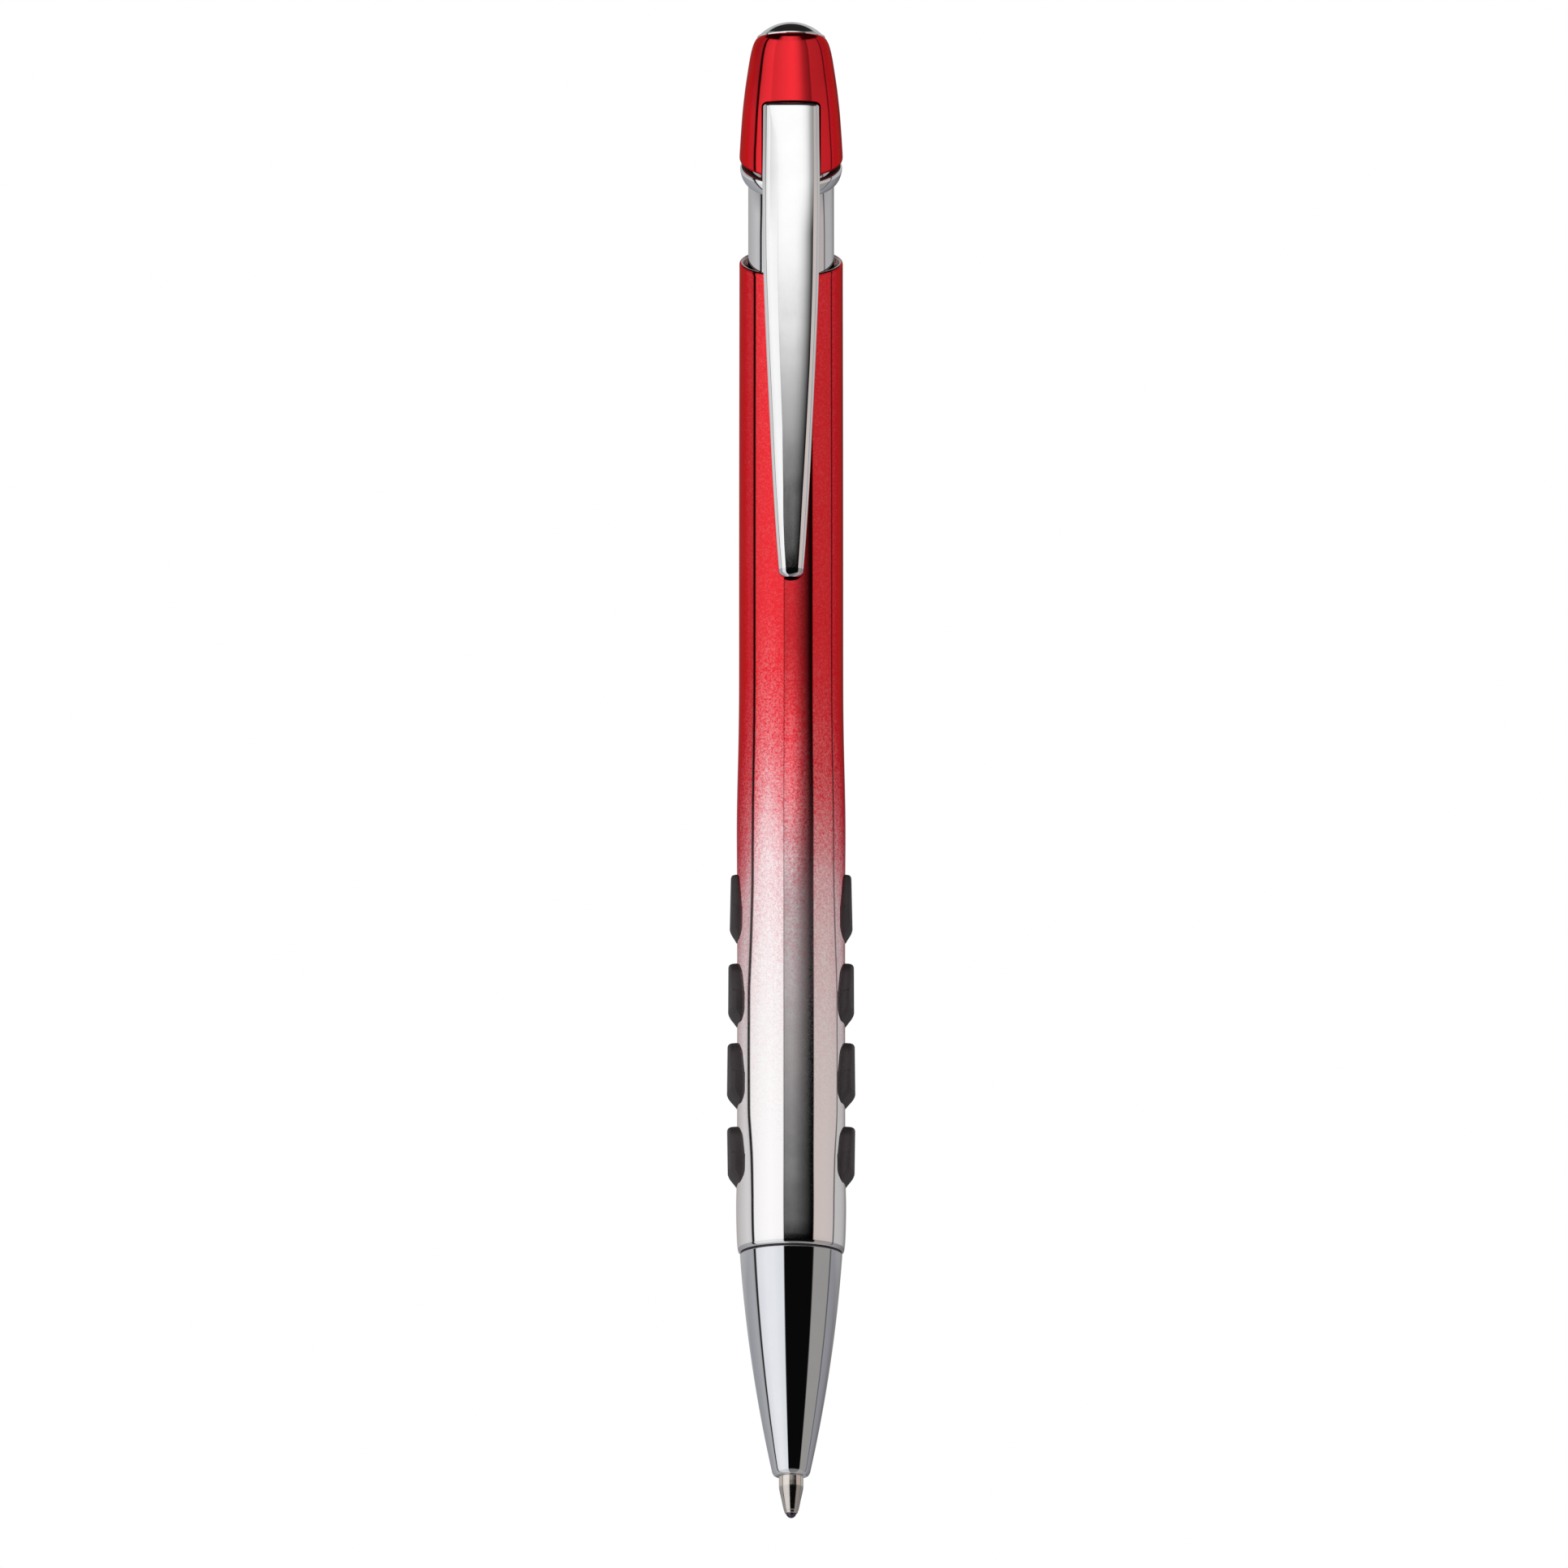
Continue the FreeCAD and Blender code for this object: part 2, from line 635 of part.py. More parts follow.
def cam_rotor():
    """Cup over the refill's end, with four fins, a notch and a pilot pin."""
    cup = dim.refill_radius + dim.rotor_gap
    top = dim.rotor_body_top
    body = turned_body("cam_rotor", [
        (cup, dim.rotor_low),
        (dim.rotor_skirt, dim.rotor_low),
        (dim.rotor_skirt, top),
        (dim.rotor_pin_radius, top),
        (dim.rotor_pin_radius, dim.rotor_pin_top - dim.pin_bevel_height),
        (dim.rotor_pin_radius - dim.pin_bevel_width, dim.rotor_pin_top),
        (0.0, dim.rotor_pin_top),
        (0.0, dim.rotor_seat),
        (cup, dim.rotor_seat),
    ])
    half = dim.rotor_fin_width * 0.5
    fin_low = dim.rotor_seat + dim.rotor_fin_rise
    outline = [
        (-half, fin_low),
        (half, fin_low),
        (half, top - dim.rotor_fin_slope),
        (-half, top),
    ]
    fin = block(body, "rotor_fin", "YZ_Plane", outline, dim.rotor_fin_radius * 2.0)
    four_around(body, "rotor_fins", fin)
    notch = [
        (0.0, top - dim.rotor_notch_depth),
        (dim.rotor_notch_half, top + dim.notch_over),
        (-dim.rotor_notch_half, top + dim.notch_over),
    ]
    block(body, "rotor_notch", "YZ_Plane", notch, dim.notch_length, cut=True)
    return body


def push_rod():
    """Rod with a notched crown and four lugs that run between the ribs."""
    bore_tip = dim.rod_bore_top + dim.rod_bore_cone
    body = turned_body("push_rod", [
        (dim.rod_bore, dim.crown_low),
        (dim.rod_radius, dim.crown_low),
        (dim.rod_radius, dim.rod_top),
        (0.0, dim.rod_top),
        (0.0, bore_tip),
        (dim.rod_bore, dim.rod_bore_top),
    ])
    outline = centred(dim.rod_lug_width, dim.rod_lug_low, dim.rod_lug_top)
    lug = block(body, "rod_lug", "YZ_Plane", outline, dim.rod_lug_radius * 2.0)
    four_around(body, "rod_lugs", lug)
    # the lugs were padded right across, so the bore is opened again
    bore_low = dim.crown_low - dim.rod_bore_below
    opening = [
        (0.0, bore_low),
        (dim.rod_bore, bore_low),
        (dim.rod_bore, dim.rod_bore_top),
        (0.0, bore_tip),
    ]
    turn(body, "rod_pilot_bore", opening, cut=True)
    notch = [
        (-dim.crown_notch_half, dim.crown_low - dim.notch_over),
        (dim.crown_notch_half, dim.crown_low - dim.notch_over),
        (0.0, dim.crown_low + dim.crown_tooth),
    ]
    for name, plane in (("crown_notch", "YZ_Plane"), ("crown_notch_across", "XZ_Plane")):
        block(body, name, plane, notch, dim.notch_length, cut=True)
    # an eighth of a turn puts the lugs in the gaps between the guide's ribs
    body.Placement = Placement(Vector(0, 0, 0), Rotation(Vector(0, 0, 1), 45))
    return body


# --------------------------------------------------------------- push cap
def plunger_tube():
    """Chrome tube that joins the cap to the barrel."""
    bore = dim.tube_radius - dim.tube_wall
    return turned_body("plunger_tube", [
        (bore, dim.tube_low),
        (dim.tube_radius - dim.tube_bevel_width, dim.tube_low),
        (dim.tube_radius, dim.tube_low + dim.tube_bevel_height),
        (dim.tube_radius, dim.tube_top),
        (bore, dim.tube_top),
    ])


def collar():
    """Turned ring whose two faces lean the same way as the cap's edge."""
    body = turned_body("collar", rectangle(
        dim.tube_radius + dim.collar_gap, dim.collar_blank_low,
        dim.collar_radius, dim.collar_blank_top,
    ))
    top = dim.collar_level + dim.collar_height
    slope_cut(body, "collar_top_cut", top, dim.collar_slope, above=True)
    slope_cut(body, "collar_low_cut", dim.collar_level, dim.collar_slope, above=False)
    return body


def cap_shell():
    """Drawn metal cap, open below, with a slot in front for the clip."""
    under_top = dim.cap_top_level - dim.cap_top_wall
    body = turned_body("cap_shell", [
        (dim.cap_foot_radius - dim.cap_wall, dim.cap_foot_level),
        (dim.cap_foot_radius, dim.cap_foot_level, dim.cap_side_arc),
        (dim.cap_neck_radius, dim.cap_neck_level, dim.cap_shoulder_arc),
        (dim.cap_top_radius, dim.cap_top_level),
        (dim.cap_top_hole, dim.cap_top_level),
        (dim.cap_top_hole, under_top),
        (dim.cap_top_radius - dim.cap_top_inset, under_top),
        (dim.cap_neck_radius - dim.cap_wall, dim.cap_neck_level - dim.cap_neck_drop,
         dim.cap_side_arc - dim.cap_wall, RIGHT),
    ])
    slope_cut(body, "cap_edge_cut", dim.cap_level, dim.cap_slope, above=False)
    half = dim.slot_width * 0.5
    slot = mirrored([
        (half, dim.cap_foot_level),
        (half, dim.slot_top - dim.slot_corner, dim.slot_corner),
        (half - dim.slot_corner, dim.slot_top),
    ])
    # reversed, the pocket goes from the axis towards -Y
    block(body, "clip_slot", "XZ_Plane", slot, dim.slot_depth,
          cut=True, mid=False, reverse=True)
    return body


def nut_corners():
    """Corners of the finial nut's hexagon, two of them on the X axis."""
    reach = dim.nut_flats / 2.0 / Size("cos(30deg)", math.cos(math.radians(30)))
    angles = [math.radians(60 * k) for k in range(6)]
    return [(reach * math.cos(angle), reach * math.sin(angle)) for angle in angles]


def cap_core():
    """Moulded plug that carries the tube, the rod and the clip."""
    stud_bore = dim.stud_radius + dim.core_stud_gap
    rod_seat = dim.rod_top + dim.core_rod_gap
    body = turned_body("cap_core", [
        (dim.core_bore, dim.core_low),
        (dim.core_foot_radius, dim.core_low),
        *CORE_SIDE,
        (dim.core_top_radius, dim.core_top),
        (stud_bore, dim.core_top),
        (stud_bore, rod_seat),
        (dim.core_bore, rod_seat),
    ])
    edge_level = dim.collar_level + dim.collar_height + dim.core_edge_gap
    slope_cut(body, "core_edge_cut", edge_level, dim.collar_slope, above=False)
    # the pocket starts out from the axis, so it only takes the front
    pocket = rectangle(
        -dim.pocket_half_width, dim.core_low, dim.pocket_half_width, dim.pocket_top
    )
    block(body, "core_clip_pocket", "XZ_Plane", pocket, dim.pocket_depth,
          cut=True, mid=False, reverse=True, start=dim.pocket_start)
    # hexagonal seat for the stud's nut, open above
    gap = dim.nut_corner_gap
    seat = [(x + gap if x.value > 0 else x - gap, y) for x, y in nut_corners()]
    block(body, "nut_seat", "XY_Plane", seat, dim.nut_seat_depth,
          cut=True, mid=False, reverse=True, start=dim.nut_low - dim.nut_seat_gap)
    return body


def finial():
    """Chrome dome with the stud that ties the cap together."""
    dome_centre = dim.dome_rise - dim.dome_arc
    dome_drop = root(dim.dome_arc * dim.dome_arc - dim.dome_radius * dim.dome_radius)
    return turned_body("finial", [
        (dim.stud_radius, dim.dome_base),
        (dim.dome_radius, dim.dome_base),
        (dim.dome_radius, dome_centre + dome_drop, dim.dome_arc),
        (0.0, dim.dome_rise),
        (0.0, dim.stud_low),
        (dim.stud_radius - dim.stud_bevel, dim.stud_low),
        (dim.stud_radius, dim.stud_low + dim.stud_bevel),
    ])


def finial_nut():
    body = new_body("finial_nut")
    block(body, "nut_pad", "XY_Plane", nut_corners(), dim.nut_top - dim.nut_low,
          mid=False, start=dim.nut_low)
    bore = rectangle(
        0.0, dim.nut_low - dim.nut_bore_over,
        dim.stud_radius + dim.nut_bore_gap, dim.nut_top + dim.nut_bore_over,
    )
    turn(body, "nut_bore", bore, cut=True)
    return body


# ------------------------------------------------------------------- clip
def combine(kind, name, base, tool):
    result = doc.addObject(kind, name)
    result.Base = base
    result.Tool = tool
    return result


def crossed(name, side, front):
    """The solid common to a side view and a front view, each padded."""
    side_body = new_body(name + "_side")
    block(side_body, name + "_side_pad", "YZ_Plane", side, dim.clip_blank_width)
    front_body = new_body(name + "_front")
    block(front_body, name + "_front_pad", "XZ_Plane", front, dim.clip_front_length)
    return combine("Part::Common", name, side_body, front_body)


def clip_solid():
    """The clip before it is hollowed."""
    lower_face = reversed(CLIP_FACE[HOLLOW_FIRST:])
    side = CLIP_FACE + [(dim.clip_depth + y, z) for y, z in lower_face] + CLIP_ROOT_BACK
    front = mirrored([
        (dim.clip_half_low - dim.clip_end_bevel_width, dim.clip_end_level),
        (dim.clip_half_low, dim.clip_end_level + dim.clip_end_bevel_height),
        (1.75, 98.2),
        (2.38, dim.clip_mid_level),
        (dim.clip_half_mid, 118.5),
        (dim.clip_half_top + dim.clip_bulge, 126.0),
        (dim.clip_half_top, dim.clip_top_level - dim.clip_top_corner, dim.clip_top_corner),
        (dim.clip_half_top - dim.clip_top_corner, dim.clip_top_level),
    ])
    return crossed("clip_solid", side, front)


def clip_hollow():
    """The channel in the clip's back, one wall in from its outer face."""
    face = CLIP_FACE[HOLLOW_FIRST:-1] + [(CLIP_FACE[-1][0], dim.hollow_end)]
    back = dim.clip_depth + dim.hollow_over
    side = [(dim.clip_wall + y, z) for y, z in face]
    side += [(back + y, z) for y, z in reversed(face)]
    return crossed("clip_hollow", side, mirrored(HOLLOW_HALF))


def clip():
    """Sprung sheet clip: a tapered channel with a nub near the barrel."""
    channel = combine("Part::Cut", "clip_channel", clip_solid(), clip_hollow())
    nub_start = -(dim.shaft_radius + dim.nub_gap)
    nub = doc.addObject("Part::Cylinder", "clip_nub")
    bind(nub, "Radius", dim.nub_radius)
    bind(nub, "Height", dim.nub_height)
    nub.Placement = Placement(
        Vector(0, nub_start.value, dim.nub_level.value), Rotation(Vector(1, 0, 0), 90)
    )
    bind(nub, "Placement.Base.y", nub_start)
    bind(nub, "Placement.Base.z", dim.nub_level)
    result = combine("Part::Fuse", "clip", channel, nub)
    result.Label = "clip"
    return result


# -------------------------------------------------------------- write out
pieces = [
    refill_ball(),
    refill_point(),
    refill_tube(),
    ink_column(),
    refill_plug(),
    return_spring(),
    nose_cone(),
    nose_seal_ring(),
    barrel(),
    grip_strip("grip_strip_right", 1.0),
    grip_strip("grip_strip_left", -1.0),
    thread_bush(),
    guide_bush(),
    cam_guide(),
    cam_rotor(),
    push_rod(),
    plunger_tube(),
    collar(),
    cap_shell(),
    cap_core(),
    finial(),
    finial_nut(),
    clip(),
]
doc.recompute()

failed = [item.Name for item in doc.Objects if "Invalid" in item.State or "Error" in item.State]
if failed:
    raise RuntimeError("failed objects: %s" % ", ".join(failed))
for piece in pieces:
    if piece.Shape.isNull() or not piece.Shape.isValid():
        raise RuntimeError("bad shape: %s" % piece.Label)
    if len(piece.Shape.Solids) != 1:
        raise RuntimeError("%s has %d solids" % (piece.Label, len(piece.Shape.Solids)))
for piece in pieces:
    piece.Shape.exportStep("parts/%s.step" % piece.Label)
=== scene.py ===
"""A push-button ballpoint pen: red lacquer fading to bare chrome, rubber grip pads, a chrome clip.

The pen stands upright on the Z axis with the ball touching z = 0 and the push cap at the top.
The clip is in front, at -Y, where the camera is; +X is to the camera's right.
Outlines are in millimetres (MM turns them into metres).  Studio sizes, texture scales and bump
distances are in metres.
"""
import json
import math

import bmesh
import bpy
import numpy as np
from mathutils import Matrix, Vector


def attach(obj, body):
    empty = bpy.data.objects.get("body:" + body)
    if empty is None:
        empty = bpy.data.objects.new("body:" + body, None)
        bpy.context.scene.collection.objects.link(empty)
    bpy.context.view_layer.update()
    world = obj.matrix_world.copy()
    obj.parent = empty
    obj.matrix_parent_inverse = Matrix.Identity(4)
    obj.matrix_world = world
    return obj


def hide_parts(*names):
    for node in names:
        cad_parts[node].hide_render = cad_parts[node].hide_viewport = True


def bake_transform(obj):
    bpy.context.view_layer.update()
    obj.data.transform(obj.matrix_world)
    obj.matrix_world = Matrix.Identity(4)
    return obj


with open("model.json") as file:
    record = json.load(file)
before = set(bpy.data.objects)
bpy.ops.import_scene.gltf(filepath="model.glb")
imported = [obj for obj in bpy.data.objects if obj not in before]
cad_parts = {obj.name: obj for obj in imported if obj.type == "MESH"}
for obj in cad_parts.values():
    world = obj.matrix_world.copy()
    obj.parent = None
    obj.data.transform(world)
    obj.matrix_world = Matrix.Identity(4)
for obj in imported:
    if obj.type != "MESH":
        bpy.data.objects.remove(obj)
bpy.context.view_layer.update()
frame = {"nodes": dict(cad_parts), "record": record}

scene = bpy.context.scene
scene.view_settings.view_transform = "Standard"
scene.view_settings.look = "None"
scene.view_settings.exposure = 0.0
scene.view_settings.gamma = 1.0

MM = 0.001
# slopes of the slanted rims, which are all higher at the back than at the front
RIM_TAN = math.tan(math.radians(25.2))
CAP_TAN = math.tan(math.radians(29.8))
COLLAR_TAN = math.tan(math.radians(29.6))

# =====================================================================
# Curves
# =====================================================================


def between(p, q, start, end, t):
    """The point at t on the line that is p at start and q at end."""
    return (end - t) / (end - start) * p + (t - start) / (end - start) * q


def smooth(points, per):
    """A centripetal Catmull-Rom curve through the points, per steps to a span."""
    p = np.array(points, float)
    padded = np.vstack([2 * p[0] - p[1], p, 2 * p[-1] - p[-2]])
    out = []
    for i in range(len(p) - 1):
        near = padded[i:i + 4]
        knots = [0.0]
        for here, there in zip(near, near[1:]):
            knots.append(knots[-1] + max(np.linalg.norm(there - here), 1e-9) ** 0.5)
        for step in range(per):
            t = knots[1] + (knots[2] - knots[1]) * step / per
            a = [between(near[j], near[j + 1], knots[j], knots[j + 1], t) for j in range(3)]
            b = [between(a[j], a[j + 1], knots[j], knots[j + 2], t) for j in range(2)]
            out.append(between(b[0], b[1], knots[1], knots[2], t))
    out.append(p[-1])
    return [tuple(q) for q in out]


def round_corner(before, corner, after, reach, steps=6):
    """Points that ease the corner, starting and ending at reach from it."""
    before, corner, after = (np.array(q, float) for q in (before, corner, after))
    to_before, to_after = before - corner, after - corner
    start = corner + to_before / np.linalg.norm(to_before) * reach
    end = corner + to_after / np.linalg.norm(to_after) * reach
    out = []
    for k in range(steps + 1):
        t = k / steps
        out.append(tuple((1 - t) ** 2 * start + 2 * t * (1 - t) * corner + t * t * end))
    return out


def lerp_table(table, x):
    """Look x up in a table of (x, value) pairs."""
    return float(np.interp(x, *zip(*table)))


def unit(v):
    return v / (np.linalg.norm(v, axis=-1, keepdims=True) + 1e-15)


# =====================================================================
# Mesh building
# =====================================================================


def make_object(name, verts, faces, face_mats, normals, body, slot, materials, replaces=None):
    me = bpy.data.meshes.new(name)
    me.from_pydata([tuple(v) for v in verts], [], faces)
    me.update()
    for m in materials:
        me.materials.append(m)
    me.polygons.foreach_set("material_index", face_mats)
    me.polygons.foreach_set("use_smooth", [True] * len(me.polygons))
    me.normals_split_custom_set([tuple(n) for n in normals])
    me.update()
    ob = bpy.data.objects.new(name, me)
    scene.collection.objects.link(ob)
    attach(ob, body)
    if replaces:
        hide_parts(replaces)


def lathe(name, rows, body, seg=240, closed=True, **kw):
    """Turn a section round Z.  rows are (r, z, lean), going round the section
    with the material on the left; lean shears the row by lean * y."""
    table = np.array([[q[0], q[1], q[2] if len(q) > 2 else 0.0] for q in rows], float)
    phi = np.linspace(0, 2 * math.pi, seg, endpoint=False)
    points = np.zeros((len(table), seg, 3))
    points[:, :, 0] = table[:, 0:1] * np.cos(phi)
    points[:, :, 1] = table[:, 0:1] * np.sin(phi)
    points[:, :, 2] = table[:, 1:2] + table[:, 2:3] * points[:, :, 1]
    grid_object(name, points, body, closed, **kw)


def mean_tangent(back, ahead):
    """The tangent at a point, the shorter of its two steps counting for more."""
    ahead_len = np.linalg.norm(ahead, axis=2, keepdims=True) + 1e-12
    back_len = np.linalg.norm(back, axis=2, keepdims=True) + 1e-12
    return back * (ahead_len / back_len) + ahead * (back_len / ahead_len)


def grid_object(name, points, body, closed, corners=(), row_mat=lambda i: 0, normal_fn=None, **kw):
    """Skin a grid of rings, in mm.  Each ring is a loop; closed joins the last
    ring to the first, otherwise both ends get a flat face.  Rings listed in
    corners keep a hard edge.  Face corners carry the true surface normals, so
    that polished metal reflects cleanly."""
    n, seg, _ = points.shape
    ahead = np.roll(points, -1, axis=0) - points
    back = points - np.roll(points, 1, axis=0)
    if not closed:
        ahead[-1] = back[-1]
        back[0] = ahead[0]
    along_next = mean_tangent(back, ahead)
    along_prev = along_next.copy()
    around = mean_tangent(
        points - np.roll(points, 1, axis=1), np.roll(points, -1, axis=1) - points
    )
    for i in corners:
        along_next[i % n] = ahead[i % n]
        along_prev[i % n] = back[i % n]
    n_next = unit(np.cross(around, along_next))
    n_prev = unit(np.cross(around, along_prev))
    if normal_fn:
        n_next, n_prev = normal_fn(n_next), normal_fn(n_prev)
    faces, normals, mats = [], [], []
    for i in range(n if closed else n - 1):
        k = (i + 1) % n
        for j in range(seg):
            m = (j + 1) % seg
            faces.append((i * seg + j, i * seg + m, k * seg + m, k * seg + j))
            normals += [n_next[i, j], n_next[i, m], n_prev[k, m], n_prev[k, j]]
            mats.append(row_mat(i))
    if not closed:
        for i in (0, n - 1):
            ring = [i * seg + j for j in range(seg)]
            a, b, c = points[i, 0], points[i, seg // 3], points[i, 2 * seg // 3]
            facing = unit(np.cross(b - a, c - a))
            if i == 0:
                ring = ring[::-1]
                facing = -facing
            faces.append(tuple(ring))
            normals += [facing] * seg
            mats.append(0)
    make_object(name, points.reshape(-1, 3) * MM, faces, mats, normals, body, **kw)


# =====================================================================
# Shader graphs
# =====================================================================

NOISE_CORE = (0.35, 0.7)    # the part of a noise's range that is put to use
NOISE_WIDE = (0.3, 0.7)


def by_turn(stops):
    """Ramp stops from (degrees from the front, value); + is to the right."""
    return [((degrees + 180) / 360.0, value) for degrees, value in stops]


class Graph:
    """Short ways to add nodes to a tree.  Inputs take a number, an RGB tuple
    or another node's output."""

    def __init__(self, tree):
        self.tree = tree

    def node(self, kind, **props):
        node = self.tree.nodes.new(kind)
        for key, value in props.items():
            setattr(node, key, value)
        return node

    def feed(self, socket, value):
        if isinstance(value, (int, float)):
            socket.default_value = value
        elif isinstance(value, tuple):
            socket.default_value = (*value, 1.0)
        else:
            self.tree.links.new(value, socket)

    def coords(self, kind="Object"):
        return self.node("ShaderNodeTexCoord").outputs[kind]

    def split(self, vector):
        node = self.node("ShaderNodeSeparateXYZ")
        self.feed(node.inputs[0], vector)
        return node.outputs

    def noise(self, scale, detail, rough, stretch=None):
        node = self.node("ShaderNodeTexNoise")
        node.inputs["Scale"].default_value = scale
        node.inputs["Detail"].default_value = detail
        node.inputs["Roughness"].default_value = rough
        source = self.coords()
        if stretch:
            mapping = self.node("ShaderNodeMapping")
            mapping.inputs["Scale"].default_value = stretch
            self.feed(mapping.inputs["Vector"], source)
            source = mapping.outputs["Vector"]
        self.feed(node.inputs["Vector"], source)
        return node.outputs["Fac"]

    def ramp(self, fac, stops):
        """A colour ramp; stops are (position, grey level or RGB)."""
        node = self.node("ShaderNodeValToRGB")
        elements = node.color_ramp.elements
        while len(elements) > 1:
            elements.remove(elements[-1])
        for k, (position, colour) in enumerate(stops):
            element = elements[0] if k == 0 else elements.new(position)
            element.position = position
            if isinstance(colour, (int, float)):
                colour = (colour, colour, colour)
            element.color = (*colour, 1.0)
        self.feed(node.inputs["Fac"], fac)
        return node.outputs["Color"]

    def math(self, op, a, b=None, clamp=False):
        node = self.node("ShaderNodeMath", operation=op, use_clamp=clamp)
        self.feed(node.inputs[0], a)
        if b is not None:
            self.feed(node.inputs[1], b)
        return node.outputs[0]

    def weighted(self, a, a_share, b, b_share):
        a_part = self.math("MULTIPLY", a, a_share)
        return self.math("ADD", a_part, self.math("MULTIPLY", b, b_share))

    def remap(self, value, source=NOISE_CORE, to=(0.0, 1.0)):
        node = self.node("ShaderNodeMapRange")
        self.feed(node.inputs["Value"], value)
        for key, limit in zip(("From Min", "From Max", "To Min", "To Max"), (*source, *to)):
            node.inputs[key].default_value = limit
        return node.outputs["Result"]

    def mix(self, fac, a, b, kind="MIX"):
        node = self.node("ShaderNodeMix", data_type="RGBA", blend_type=kind)
        # 0, 6 and 7 are the factor and the two colours
        for index, value in ((0, fac), (6, a), (7, b)):
            self.feed(node.inputs[index], value)
        return node.outputs[2]

    def turn(self, xyz):
        """Direction round Z as 0 to 1, with the front (-Y) at 0.5."""
        minus_y = self.math("MULTIPLY", xyz["Y"], -1.0)
        angle = self.math("ARCTAN2", xyz["X"], minus_y)
        return self.math("ADD", self.math("DIVIDE", angle, 2 * math.pi), 0.5, clamp=True)


class Material(Graph):
    def __init__(self, name):
        self.data = bpy.data.materials.new(name)
        self.data.use_nodes = True
        super().__init__(self.data.node_tree)
        self.bsdf = self.tree.nodes["Principled BSDF"]

    def set(self, key, value):
        self.feed(self.bsdf.inputs[key], value)

    def bump(self, height, distance, strength, under=None):
        node = self.node("ShaderNodeBump")
        node.inputs["Distance"].default_value = distance
        node.inputs["Strength"].default_value = strength
        self.feed(node.inputs["Height"], height)
        if under is not None:
            self.feed(node.inputs["Normal"], under)
        return node.outputs["Normal"]


# =====================================================================
# Materials
# =====================================================================

LACQUER = (0.80, 0.020, 0.030)
LACQUER_SMUDGED = (0.78, 0.018, 0.027)
LACQUER_COAT = 0.14         # clear coat weight
COAT_ROUGH = 0.02


def polished(name, tint, rough=(0.025, 0.06)):
    """Plated, polished metal: faint smudges, hairline scratches and the
    long soft waviness that drawn and plated parts have."""
    k = Material(name)
    smudge = k.noise(scale=260.0, detail=4.0, rough=0.6)
    scratch = k.noise(scale=2600.0, detail=2.0, rough=0.5, stretch=(1.0, 1.0, 0.12))
    k.set("Metallic", 1.0)
    k.set("Base Color", k.mix(k.remap(smudge), tint, tuple(0.965 * c for c in tint)))
    wear = k.weighted(smudge, 0.7, scratch, 0.3)
    k.set("Roughness", k.remap(wear, to=rough))
    wave = k.noise(scale=190.0, detail=1.0, rough=0.4, stretch=(1.0, 1.0, 0.18))
    k.set("Normal", k.bump(wave, distance=1.2e-5, strength=0.35))
    return k.data


def red_lacquer(name):
    k = Material(name)
    smudge = k.noise(scale=240.0, detail=4.0, rough=0.6)
    k.set("Metallic", 1.0)
    k.set("Base Color", k.mix(k.remap(smudge), LACQUER, LACQUER_SMUDGED))
    k.set("Specular Tint", (0.82, 0.13, 0.19))
    k.set("Roughness", k.remap(smudge, to=(0.05, 0.085)))
    k.set("Coat Weight", LACQUER_COAT)
    k.set("Coat Roughness", COAT_ROUGH)
    wave = k.noise(scale=170.0, detail=1.0, rough=0.4, stretch=(1.0, 1.0, 0.2))
    k.set("Normal", k.bump(wave, distance=1.1e-5, strength=0.3))
    return k.data


# how far the fade is carried down: degrees from the front, mm
FADE_DRIFT = [
    (-180, 16), (-90, 11), (-56, 8.3), (-42, 4.2), (-33, 1.0), (-26, 0), (-20, 0.9), (-12, 3.0),
    (-3, 4.6), (5, 6.0), (12, 8.0), (20, 8.0), (27, 6.0), (42, 6.0), (60, 8.0), (90, 11), (180, 16),
]
DRIFT_UNIT = 20.0           # mm, the drift at ramp level 1
FADE_START = 0.034          # metres up the pen
FADE_LENGTH = 0.054
# share of the fade's length, amount of lacquer
FADE_AMOUNT = [
    (0.0, 0.0), (0.10, 0.010), (0.18, 0.028), (0.26, 0.055), (0.333, 0.095), (0.407, 0.16),
    (0.463, 0.235), (0.53, 0.31), (0.593, 0.45), (0.63, 0.58), (0.667, 0.71), (0.74, 0.85),
    (0.81, 0.915), (0.90, 0.965), (1.0, 0.99),
]


